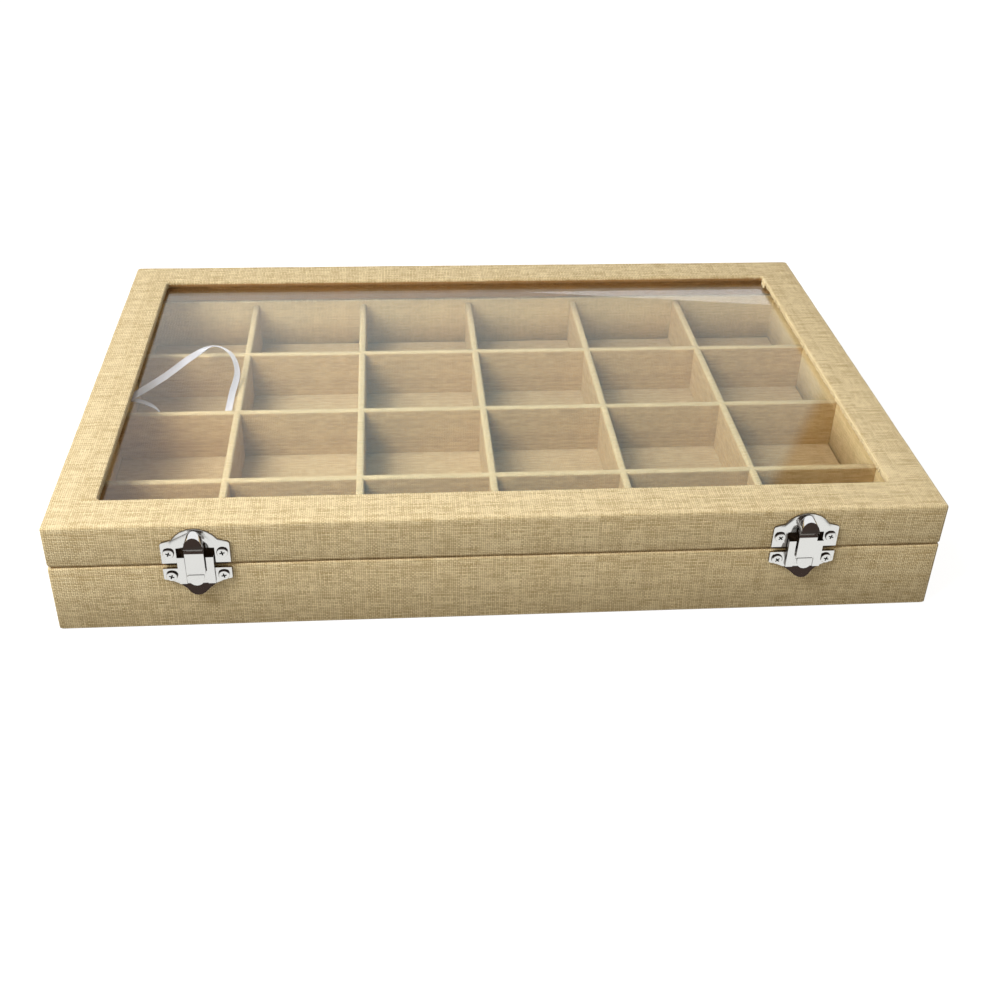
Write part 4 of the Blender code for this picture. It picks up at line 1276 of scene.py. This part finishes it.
@dataclass
class ScrewSet:
    """Cross-head screws of one body, set on their places by Geometry Nodes.

    The head's sizes are counted in its own radius, and its turns are in degrees.
    """

    name: str
    body: Body
    nodes: list[str]
    profile: tuple[tuple[float, float], ...] = (
        (0.0, 0.30), (0.60, 0.29), (0.84, 0.25), (0.92, 0.17), (0.95, 0.04), (0.95, -0.22),
        (0.34, -0.22), (0.34, -1.1), (0.0, -1.4))
    turn_steps: int = 28
    arm: float = 0.56
    arm_width: float = 0.24
    arm_foot_share: float = 0.62
    depth: float = 0.42
    lift: float = 0.34
    recess_radius: float = 0.62
    recess_heights: tuple[float, float] = (-0.1, 0.27)
    rim_radius: float = 0.92
    rim_shade: float = 0.85
    sharp: float = 20.0
    face_height: float = 0.36
    first_turn: int = 37
    turn_between: int = 31

    def recess_bar(self, angle: float) -> bpy.types.Object:
        """Make one arm of the cross that is cut from a head.

        Args:
            angle: how it is turned, in degrees.

        Returns:
            The bar, narrower towards its foot.
        """
        bar = bmesh.new()
        bmesh.ops.create_cube(bar, size=1.0)
        bmesh.ops.scale(bar, vec=(2 * self.arm, self.arm_width, 2 * self.depth), verts=bar.verts)
        for vert in bar.verts:
            if vert.co.z < 0:
                vert.co.x *= self.arm_foot_share
        bmesh.ops.rotate(bar, cent=(0, 0, 0), verts=bar.verts,
                         matrix=Matrix.Rotation(math.radians(angle), 3, "Z"))
        bmesh.ops.translate(bar, vec=(0, 0, self.lift), verts=bar.verts)
        return linked("recess", shell_mesh(bar, "recess"))

    def head(self) -> bpy.types.Object:
        """Make one screw head of unit radius, its face towards +Z.

        Returns:
            The head, with painted shade in its cross recess and on the side of its rim.
        """
        mesh = bpy.data.meshes.new("screw_profile")
        mesh.from_pydata([(x, 0, z) for x, z in self.profile],
                         [(i, i + 1) for i in range(len(self.profile) - 1)], [])
        head = linked("screw_head", mesh)
        turn = head.modifiers.new("turn", "SCREW")
        turn.steps = turn.render_steps = self.turn_steps
        turn.use_merge_vertices = True
        turn.merge_threshold = 0.0001
        baked(head)
        mend(head.data)
        for angle in (0, 90):
            cutter = self.recess_bar(angle)
            cut = head.modifiers.new("recess", "BOOLEAN")
            cut.object = cutter
            cut.solver = "EXACT"
            baked(head)
            bpy.data.objects.remove(cutter, do_unlink=True)
        shade(head.data, self.sharp)
        # Painted shade: dark values in the cross recess and on the rim's side.
        low, high = self.recess_heights
        shares = []
        for face in head.data.polygons:
            radius = math.hypot(face.center.x, face.center.y)
            inside = radius < self.recess_radius and low < face.center.z < high
            shares.append(1.0 if inside else self.rim_shade * (radius > self.rim_radius))
        mark_hollow(head.data, shares)
        return head

    def dress(self) -> bpy.types.Object:
        """Set a screw at each CAD screw of this body and take their place.

        Returns:
            All the screws of the body as one piece.
        """
        places, turns, sizes = [], [], []
        for number, node in enumerate(self.nodes):
            low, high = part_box(node)
            radius = (high.x - low.x) / 2
            face, inwards = (low.y, 1) if high.y < 0 else (high.y, -1)
            places.append(((low.x + high.x) / 2, face + inwards * self.face_height * radius,
                           (low.z + high.z) / 2))
            slot_turn = math.radians((self.first_turn + self.turn_between * number) % 90)
            turn = (Matrix.Rotation(inwards * math.pi / 2, 3, "X")
                    @ Matrix.Rotation(slot_turn, 3, "Z"))
            turns.append(tuple(turn.to_euler()))
            sizes.append(radius)
        piece = SCATTER.make(self.name, places, turns, sizes, self.head(), NICKEL.material())
        return settle(piece, self.body, Slot.NICKEL, *self.nodes)


@dataclass
class WindowFringe:
    """Frayed thread ends of the cut cloth round the window, set by Geometry Nodes.

    The edges are the front, right, back and left, each with its threads' pitch and length. Bow, drift
    and taper are shares of a thread's length.
    """

    half_length: float
    half_depth: float
    height: float
    seed: int = 7
    radius: float = 0.00012
    mean_length: float = 0.0012
    rounds: int = 5
    steps: int = 5
    edges: tuple[tuple[float, float], ...] = (
        (0.0011, 0.0008), (0.00036, 0.0023), (0.0005, 0.0008), (0.0009, 0.0007))
    end_gap: float = 0.002
    tuft_reach: float = 0.006
    tuft: float = 1.7
    lean: tuple[float, float] = (0.05, 0.35)
    right_slant: float = 0.55
    slant_spread: float = 0.35
    size_range: tuple[float, float] = (0.6, 1.1)
    bow: float = 0.22
    bow_turn: float = 0.8
    drift: float = 0.1
    taper: float = 0.6
    map_unit: float = 0.001

    def thread(self) -> bpy.types.Object:
        """Make one bent thread a unit long, hanging from the origin along -Z, bowed to +X.

        Returns:
            The thread, as a closed tube with its map.
        """
        thin = self.radius / self.mean_length
        bm = bmesh.new()
        rings = []
        for step in range(self.steps + 1):
            share = step / self.steps
            middle = Vector((self.bow * math.sin(math.pi * share * self.bow_turn),
                             self.drift * share * share, -share))
            size = thin * (1 - self.taper * share ** 2)
            around = [2 * math.pi * k / self.rounds for k in range(self.rounds)]
            rings.append([bm.verts.new(middle + Vector((size * math.cos(t), size * math.sin(t), 0)))
                          for t in around])
        for near, far in zip(rings, rings[1:]):
            for k in range(self.rounds):
                m = (k + 1) % self.rounds
                bm.faces.new((near[k], near[m], far[m], far[k])).smooth = True
        bm.faces.new(list(reversed(rings[0])))
        bm.faces.new(rings[-1])
        layer = bm.loops.layers.uv.new("cloth")
        for face in bm.faces:
            for loop in face.loops:
                loop[layer].uv = (loop.vert.co.z * self.map_unit, loop.vert.co.x * self.map_unit)
        return linked("thread", shell_mesh(bm, "thread"))

    def dress(self) -> bpy.types.Object:
        """Hang the threads along the four edges, thickest on the right and at the back corners.

        Returns:
            The finished piece.
        """
        chance = random.Random(self.seed)
        places, turns, sizes = [], [], []
        for side, (pitch, length) in enumerate(self.edges):
            half = (self.half_depth if side in (1, 3) else self.half_length) - self.end_gap
            for number in range(int(2 * half / pitch)):
                place = -half + (number + chance.random()) * pitch
                from_back = half - place if side in (1, 3) else half - abs(place)
                tuft = self.tuft if from_back < self.tuft_reach and side != 0 else 1.0
                x, y = ((place, -self.half_depth), (self.half_length, place),
                        (place, self.half_depth), (-self.half_length, place))[side]
                places.append((x, y, self.height))
                lean = chance.uniform(*self.lean)
                slant = chance.gauss(self.right_slant if side == 1 else 0.0, self.slant_spread)
                facing = math.radians((90, 180, 270, 0)[side])
                turns.append(self.turned(facing, lean, slant))
                sizes.append(length * tuft * chance.uniform(*self.size_range))
        piece = SCATTER.make("window_fringe", places, turns, sizes, self.thread(), FRINGE.material())
        return settle(piece, Body.LID, Slot.BOARD)

    @staticmethod
    def turned(facing: float, lean: float, slant: float) -> Point:
        """Return the turn of a thread that leans into the window and slants along its edge."""
        turn = (Matrix.Rotation(facing, 3, "Z") @ Matrix.Rotation(-lean, 3, "Y")
                @ Matrix.Rotation(slant, 3, "X"))
        return tuple(turn.to_euler())


@dataclass
class LatchShadeSheet:
    """A dark sheet of painted shade under a latch plate, seen through its notch and in the gap between the
    plates.
    """

    name: str
    body: Body
    middle: float
    low: float
    high: float
    half_width: float
    wall: float
    thickness: float = 0.00026
    corner: float = 0.0012

    def dress(self) -> bpy.types.Object:
        """Build the dark sheet with rounded corners.

        Returns:
            The finished piece.
        """
        outline = []
        for x, z, angle in ((-1, 0, 180), (1, 0, 270), (1, 1, 0), (-1, 1, 90)):
            centre = (self.middle + x * (self.half_width - self.corner),
                      (self.high - self.corner) if z else (self.low + self.corner))
            outline += arc(centre, self.corner, angle, angle + 90, 5)
        bm = bmesh.new()
        back = [bm.verts.new((x, self.wall, z)) for x, z in outline]
        front = [bm.verts.new((x, self.wall - self.thickness, z)) for x, z in outline]
        bm.faces.new(back)
        bm.faces.new(list(reversed(front)))
        for i in range(len(outline)):
            j = (i + 1) % len(outline)
            bm.faces.new((back[i], front[i], front[j], back[j]))
        mesh = shell_mesh(bm, self.name)
        # Painted shade: the dark sheet stands in for the shade in the latch's gaps.
        piece = add_piece(self.name, mesh, SHADE_SHEET.material())
        lay_cloth(mesh)
        return settle(piece, self.body, Slot.CARD)


# The ribbon's points as shares of the compartment's room, each with its width's direction.
RIBBON_ROUTE_SHARES = (
    ((0.017, -0.064, 0.845), (0.0, 1.0, 0.1)),
    ((0.102, -0.042, 0.845), (-0.1, 1.0, 0.2)),
    ((0.361, 0.336, 0.845), (-0.4, 0.5, 0.7)),
    ((0.565, 0.718, 0.845), (-0.3, 0.8, 0.4)),
    ((0.731, 0.927, 0.845), (-0.1, 0.9, -0.3)),
    ((0.898, 0.809, 0.825), (0.5, 0.6, -0.4)),
    ((0.985, 0.518, 0.776), (0.7, 0.1, -0.6)),
    ((0.957, 0.264, 0.665), (0.8, 0.0, -0.5)),
    ((0.926, 0.100, 0.512), (0.9, -0.2, -0.2)),
    ((0.870, 0.064, 0.277), (0.8, 0.5, -0.1)),
    ((0.759, 0.109, 0.078), (0.3, 1.0, 0.0)),
    ((0.602, 0.136, 0.055), (0.0, 1.0, 0.0)),
    ((0.454, 0.100, 0.180), (-0.2, 1.0, -0.2)),
    ((0.398, 0.060, 0.416), (-0.4, 0.9, -0.1)),
    ((0.343, 0.064, 0.601), (-0.3, 0.9, -0.1)),
    ((0.231, 0.127, 0.659), (-0.1, 1.0, 0.0)),
    ((0.102, 0.173, 0.673), (0.0, 1.0, 0.0)),
    ((0.013, 0.176, 0.665), (0.0, 1.0, 0.0)),
)


@dataclass
class RibbonStay:
    """The satin ribbon from the lid's left wall to the tray's, slack in one compartment.

    The rim gives its section in halves of its width and thickness. The bend holds two heights above its
    lowest point, but nothing reads it.
    """

    corner: Vector
    room: Vector
    width: float = 0.0031
    sheet: float = 0.00028
    steps: int = 170
    look_ahead: float = 0.05
    rim: tuple[tuple[float, float], ...] = (
        (-1, 0.7), (-0.96, 1.25), (-0.88, 1.0), (0, 0.8), (0.88, 1.0), (0.96, 1.25), (1, 0.7))
    bend: tuple[float, float] = (0.0225, 0.0285)

    @staticmethod
    def between(values: list[Vector], position: float) -> Vector:
        """Find the point at a position along a smooth curve through the values.

        Args:
            values: the points that the curve passes.
            position: the place, counted in values.

        Returns:
            The point.
        """
        last = len(values) - 1
        index = min(int(position), last - 1)
        t = position - index
        p0, p1 = values[max(index - 1, 0)], values[index]
        p2, p3 = values[index + 1], values[min(index + 2, last)]
        return 0.5 * (2 * p1 + (p2 - p0) * t + (2 * p0 - 5 * p1 + 4 * p2 - p3) * t ** 2
                      + (3 * p1 - p0 - 3 * p2 + p3) * t ** 3)

    def frames(self) -> list[tuple[Vector, Vector, Vector]]:
        """Follow the route.

        Returns:
            At each step the ribbon's middle, the direction across it, and the one out of its face.
        """
        points = [self.corner + Vector(shares) * self.room for shares, _ in RIBBON_ROUTE_SHARES]
        widths = [Vector(width) for _, width in RIBBON_ROUTE_SHARES]
        last = len(points) - 1
        frames = []
        for step in range(self.steps + 1):
            position = last * step / self.steps
            along = (self.between(points, min(position + self.look_ahead, last))
                     - self.between(points, max(position - self.look_ahead, 0))).normalized()
            across = self.between(widths, position)
            across = (across - along * across.dot(along)).normalized()
            frames.append((self.between(points, position), across, along.cross(across)))
        return frames

    def dress(self) -> bpy.types.Object:
        """Build the ribbon along the CAD ribbon's route, with its map along its length.

        Returns:
            The finished piece.
        """
        frames = self.frames()
        path = [middle for middle, _, _ in frames]
        half, thick = self.width / 2, self.sheet / 2
        section = list(self.rim) + [(w, -t) for w, t in reversed(self.rim)]
        bm = bmesh.new()
        layer = bm.loops.layers.uv.new("cloth")
        rings = [[bm.verts.new(middle + across * (w * half) + out * (t * thick)) for w, t in section]
                 for middle, across, out in frames]
        run = 0.0
        for near, far, start, end in zip(rings, rings[1:], path, path[1:]):
            next_run = run + (end - start).length
            for j, (w, _) in enumerate(section):
                k = (j + 1) % len(section)
                next_w = section[k][0]
                face = bm.faces.new((near[j], near[k], far[k], far[j]))
                face.smooth = True
                for loop, place in zip(face.loops, (
                        (run, w * half), (run, next_w * half), (next_run, next_w * half),
                        (next_run, w * half))):
                    loop[layer].uv = place
            run = next_run
        bm.faces.new(list(reversed(rings[0])))
        bm.faces.new(rings[-1])
        ribbon = add_piece("ribbon_strip", shell_mesh(bm, "ribbon"), SatinFinish().material())
        settle_between(ribbon, Body.TRAY, Body.LID,
                       "ribbon_stay")
        return ribbon


@dataclass
class PlainNode:
    """A CAD node that keeps its own shape and gets a finish."""

    node: str
    material: bpy.types.Material

    def dress(self) -> bpy.types.Object:
        """Give the node its material.

        Returns:
            The CAD node's object.
        """
        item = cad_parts[self.node]
        item.data.materials.clear()
        item.data.materials.append(self.material)
        LOG.info("%s keeps its CAD shape", self.node)
        return item


@dataclass
class FlatCloth:
    """A cloth-covered board that replaces a plain CAD board."""

    name: str
    node: str
    body: Body
    slot: Slot
    finish: LinenFinish
    rounding: float = 0.0005
    least: float = 30.0
    sharp: float = 35.0

    def dress(self) -> bpy.types.Object:
        """Copy the board with rounded edges and a cloth map.

        Returns:
            The finished piece.
        """
        mesh = mend(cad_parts[self.node].data.copy(), MERGE_GAP, join_flat=True)
        piece = add_piece(self.name, mesh, self.finish.material())
        round_edges(piece, self.rounding, self.least, self.sharp)
        lay_cloth(piece.data)
        return settle(piece, self.body, self.slot, self.node)


@dataclass(frozen=True)
class Lamp:
    """A square lamp that metal and glass don't mirror."""

    name: str
    place: Point
    aim: Point
    power: float
    size: float

    def hang(self) -> None:
        """Add the lamp to the scene."""
        light = bpy.data.lights.new(self.name, "AREA")
        light.energy = self.power
        light.size = self.size
        item = linked(self.name, light)
        item.location = self.place
        item.rotation_euler = (Vector(self.aim) - Vector(self.place)).to_track_quat("-Z", "Y").to_euler()
        item.visible_glossy = False


@dataclass
class Studio:
    """White studio: floor, lamps, world and the camera at the photograph's place.

    A pair of numbers, such as veil_back, is the range of a direction's X, Y or Z over which a part of
    the mirrored room sets in. Of four numbers, the last two are the results at the range's ends.
    """

    camera_place: Point = (-0.04230, -0.51947, 0.32445)
    camera_turn: Point = (56.584, -1.275, -4.377)
    lens: float = 46.63
    sensor: float = 36.0
    floor_size: float = 12.0
    floor_drop: float = 0.0004
    floor_grey: Color = (0.3, 0.3, 0.3)
    floor_glow: float = 0.9
    floor_mirrored: Color = (0.87, 0.88, 0.87)
    floor_mirrored_near: Color = (0.05, 0.04, 0.035)
    floor_near: tuple[float, float, float, float] = (-0.26, -0.20, 1.0, 0.0)
    dark: Color = (0.05, 0.035, 0.03)
    dark_front: tuple[float, float] = (-0.15, -0.38)
    room: Color = (0.95, 0.97, 1.0)
    veil_far: Color = (1.14, 1.14, 1.06)
    veil_left: Color = (0.80, 0.78, 0.76)
    veil_right: Color = (0.54, 0.88, 0.97)
    veil_back: tuple[float, float] = (0.45, 0.6)
    veil_heights: tuple[float, float] = (0.39, 0.52)
    veil_turn: tuple[float, float] = (-0.18, -0.04)
    veil_fade: tuple[float, float, float, float] = (-0.22, 0.32, 1.0, 0.66)
    veil_end: Point = (0.8388, -0.475, 0.2661)
    veil_end_edge: tuple[float, float] = (-0.004, 0.010)
    gap_back: tuple[float, float] = (0.60, 0.72)
    gap_heights: tuple[float, float, float, float] = (0.6, 0.7, 1.0, 0.0)
    sky: Color = (0.27, 0.272, 0.30)
    warm_sky: Color = (0.56, 0.49, 0.365)
    warm_side: Point = (-0.45, -0.60, 0.66)
    warm_reach: tuple[float, float] = (0.2, 0.9)
    lamps: tuple[Lamp, ...] = (
        Lamp("key", (-0.50, -0.36, 0.75), (0.0, 0.0, 0.03), 8.1, 0.46),
        Lamp("behind", (0.15, 1.1, 0.14), (0.0, 0.12, 0.03), 3.0, 0.7))

    def floor(self) -> None:
        """Lay the white floor, which keeps the object's shadow.

        Metal and glass see it pale, and dark close to the camera.
        """
        half = self.floor_size / 2
        mesh = bpy.data.meshes.new("floor")
        mesh.from_pydata([(-half, -half, 0), (half, -half, 0), (half, half, 0), (-half, half, 0)], [],
                         [(0, 1, 2, 3)])
        material, sheet, shader = blank_material("white_floor")
        sheet.fill(shader, {"Base Color": (*self.floor_grey, 1), "Roughness": 0.9,
                            "Specular IOR Level": 0.0})
        near = sheet.ramp(sheet.axes(sheet.object_place())["Y"], *self.floor_near)
        mirrored = sheet.add("ShaderNodeEmission", {"Color": sheet.blend(
            near, (*self.floor_mirrored, 1), (*self.floor_mirrored_near, 1)), "Strength": 1.0})
        glow = sheet.add("ShaderNodeEmission", {"Color": (1, 1, 1, 1), "Strength": self.floor_glow})
        both = sheet.add("ShaderNodeAddShader", {0: shader.outputs["BSDF"], 1: glow.outputs["Emission"]})
        path = sheet.add("ShaderNodeLightPath").outputs
        seen = sheet.add("ShaderNodeMixShader", {
            0: path["Is Camera Ray"], 1: shader.outputs["BSDF"], 2: both.outputs["Shader"]})
        mix = sheet.add("ShaderNodeMixShader", {
            0: path["Is Glossy Ray"], 1: seen.outputs["Shader"], 2: mirrored.outputs["Emission"]})
        sheet.surface(mix.outputs["Shader"])
        floor = add_piece("studio_floor", mesh, material)
        floor.location.z = -self.floor_drop

    def mirrored_room(self, sheet: NodeSheet, toward: bpy.types.NodeSocket) -> bpy.types.NodeSocket:
        """Build what metal and glass mirror: a pale room, dark in front and past its right end.

        The glass mirrors the part towards the back as its veil, which ends sharply over the window's
        right front corner.

        Args:
            sheet: the world's sheet.
            toward: the direction that is looked in.

        Returns:
            The colour.
        """
        parts = sheet.axes(toward)
        x, y, z = parts["X"], parts["Y"], parts["Z"]
        right_end = sheet.ramp(sheet.vector("DOT_PRODUCT", toward, self.veil_end), *self.veil_end_edge)
        low, back = sheet.ramp(z, *self.gap_heights), sheet.ramp(y, *self.gap_back)
        gap = sheet.math("MULTIPLY", right_end, sheet.math("MULTIPLY", low, back))
        dark = sheet.math("MAXIMUM", gap, sheet.ramp(y, *self.dark_front))
        near = sheet.blend(sheet.ramp(x, *self.veil_turn), (*self.veil_left, 1), (*self.veil_right, 1))
        veil = sheet.blend(sheet.ramp(z, *self.veil_heights), (*self.veil_far, 1), near)
        fade = sheet.ramp(x, *self.veil_fade)
        veil = sheet.blend(1.0, veil, sheet.combine(fade, fade, fade), "MULTIPLY")
        pale = sheet.blend(sheet.ramp(y, *self.veil_back), (*self.room, 1), veil)
        return sheet.blend(dark, pale, (*self.dark, 1))

    def world(self) -> None:
        """Set an even pale sky that lamps add to, white to the camera, a room to metal and glass."""
        world = bpy.data.worlds.new("studio")
        bpy.context.scene.world = world
        world.use_nodes = True
        sheet = NodeSheet(world.node_tree)
        toward = sheet.add("ShaderNodeTexCoord").outputs["Generated"]
        warm = sheet.ramp(sheet.vector("DOT_PRODUCT", toward, self.warm_side), *self.warm_reach)
        sky = sheet.blend(warm, (*self.sky, 1), (*self.warm_sky, 1))
        path = sheet.add("ShaderNodeLightPath").outputs
        color = sheet.blend(path["Is Glossy Ray"], sky, self.mirrored_room(sheet, toward))
        color = sheet.blend(path["Is Camera Ray"], color, (1, 1, 1, 1))
        background = next(node for node in sheet.tree.nodes if node.type == "BACKGROUND")
        sheet.fill(background, {"Color": color, "Strength": 1.0})

    def camera(self) -> None:
        """Add the camera where the photograph was taken from."""
        data = bpy.data.cameras.new("camera")
        data.lens = self.lens
        data.sensor_width = self.sensor
        data.clip_start = 0.01
        item = linked("camera", data)
        item.location = self.camera_place
        item.rotation_euler = [math.radians(v) for v in self.camera_turn]
        bpy.context.scene.camera = item

    def build(self) -> None:
        """Set up the whole studio."""
        self.floor()
        self.world()
        for lamp in self.lamps:
            lamp.hang()
        self.camera()
        bpy.context.scene.view_settings.view_transform = "Standard"


@dataclass
class Latch:
    """One latch at the front: its metal parts, and the dark sheets of painted shade that show between
    them.

    The lever's band is counted from its foot, and each dark sheet's reach from its plate's end at the
    seam.
    """

    side: str
    lever: Body
    lever_band: tuple[float, float] = (0.0043, 0.0059)
    lever_rounding: float = 0.00018
    pin_rounding: float = 0.00008
    spring_rounding: float = 0.00004
    sheet: float = 0.0009
    shade_inset: float = 0.0007
    shade_gap: float = 0.0002
    lid_shade_reach: float = 0.0095
    tray_shade_reach: float = 0.010

    def dress(self) -> None:
        """Dress the latch's parts in place."""
        base, hook, lever, pin, spring = (f"latch_{self.side}_{part}" for part in (
            "base_plate", "hook_plate", "lever", "pin", "spring"))
        PolishedPart(hook, Body.LID, dark_depth=self.sheet).dress()
        PolishedPart(base, Body.TRAY).dress()
        low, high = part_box(hook)
        middle, half = (low.x + high.x) / 2, (high.x - low.x) / 2 - self.shade_inset
        wall_low, wall_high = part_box("tray_wall_front")
        # Dark sheets of painted shade behind the lid's and the tray's plates.
        LatchShadeSheet(f"latch_{self.side}_lid_felt", Body.LID, middle,
                 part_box("lid_wall_front")[0].z - SEAM_DROP + self.shade_gap,
                 low.z + self.lid_shade_reach, half, wall_low.y).dress()
        LatchShadeSheet(f"latch_{self.side}_tray_felt", Body.TRAY, middle,
                 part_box(base)[1].z - self.tray_shade_reach,
                 wall_high.z - SEAM_DROP - self.shade_gap, half, wall_low.y).dress()
        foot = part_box(lever)[0].z
        PolishedPart(lever, self.lever, rounding=self.lever_rounding,
                     dark_band=tuple(foot + rise for rise in self.lever_band)).dress()
        PolishedPart(pin, Body.TRAY, rounding=self.pin_rounding).dress()
        PolishedPart(spring, Body.TRAY, STEEL, Slot.STEEL, self.spring_rounding,
                     pushed_by=self.lever).dress()


@dataclass
class Hinge:
    """One butt hinge at the back."""

    side: str
    leaf_rounding: float = 0.00015
    pin_rounding: float = 0.00012

    def dress(self) -> None:
        """Dress the hinge's parts in place."""
        for part, body, rounding in (("lid_leaf", Body.LID, self.leaf_rounding),
                                     ("tray_leaf", Body.TRAY, self.leaf_rounding),
                                     ("pin", Body.TRAY, self.pin_rounding)):
            PolishedPart(f"hinge_{self.side}_{part}", body, rounding=rounding).dress()


def build_tray() -> None:
    """Dress the tray: walls, underside, lining and dividers."""
    low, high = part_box("tray_wall_left")
    shell = ClothShell("tray_cover", -low.x, -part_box("tray_wall_front")[0].y)
    TrayCover(shell, inner=high.x - low.x, top=high.z - SEAM_DROP).dress()
    FlatCloth("tray_underside", "tray_bottom_board", Body.TRAY, Slot.BOARD, COVER).dress()
    FlatCloth("compartment_lining", "tray_floor_lining", Body.TRAY, Slot.LINING, LINING,
              rounding=0.0002).dress()
    long_boxes = [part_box(node) for node in LONG_DIVIDERS]
    short_boxes = [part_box(node) for node in SHORT_DIVIDERS]
    low, high = long_boxes[0]
    cloth = 0.0002
    DividerGrid(
        thickness=high.y - low.y + 2 * cloth, bottom=low.z - cloth, top=high.z,
        half_length=high.x + cloth, half_depth=short_boxes[0][1].y + cloth,
        long_places=[(a.y + b.y) / 2 for a, b in long_boxes],
        short_places=[(a.x + b.x) / 2 for a, b in short_boxes]).dress()


def build_lid() -> None:
    """Dress the lid: frame, frayed edge, glass and the strips under it."""
    low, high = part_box("lid_wall_left")
    top_low, top_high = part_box("lid_top_board")
    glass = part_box("glass_pane")[1]
    hidden_edge, side_fold, front_fold, fringe_drop = 0.0055, 0.0006, 0.0008, 0.0004
    shell = ClothShell("lid_cover", top_high.x, top_high.y)
    half_length = glass.x - hidden_edge - side_fold
    half_depth = glass.y - hidden_edge - front_fold
    LidCover(shell, inner=high.x - low.x, bottom=low.z - SEAM_DROP, top=top_high.z,
             underside=top_low.z, side_rail=top_high.x - half_length,
             front_rail=top_high.y - half_depth).dress()
    WindowFringe(half_length, half_depth, top_high.z - fringe_drop).dress()
    PlainNode("glass_pane", GlassFinish().material()).dress()
    for side in ("front", "back", "left", "right"):
        FlatCloth(f"glass_strip_{side}", f"glass_retainer_{side}", Body.LID, Slot.CARD,
                  STRIPS, rounding=0.0004).dress()


def build_hardware() -> None:
    """Dress the latches, hinges and screws."""
    for side, lever in (("left", Body.LEFT_LEVER), ("right", Body.RIGHT_LEVER)):
        Latch(side, lever).dress()
        Hinge(side).dress()
    names = sorted(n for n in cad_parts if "_screw_" in n)
    on_lid = [n for n in names if "_hook_" in n or "_lid_" in n]
    ScrewSet("lid_screws", Body.LID, on_lid).dress()
    ScrewSet("tray_screws", Body.TRAY, [n for n in names if n not in on_lid]).dress()


def build_ribbon() -> None:
    """Dress the ribbon in the compartment that its route's shares are counted in."""
    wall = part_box("tray_wall_left")[1].x
    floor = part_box("tray_floor_lining")[1].z
    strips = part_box("glass_retainer_left")[0].z
    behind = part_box("divider_long_2")[1].y
    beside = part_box("divider_short_1")[0].x
    next_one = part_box("divider_long_3")[0].y
    RibbonStay(Vector((wall, behind, floor)),
               Vector((beside - wall, next_one - behind, strips - floor))).dress()


def main() -> None:
    """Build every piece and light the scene."""
    logging.basicConfig(level=logging.INFO, format="%(message)s")
    Studio().build()
    build_ribbon()
    build_tray()
    build_lid()
    build_hardware()


if __name__ == "__main__":
    main()
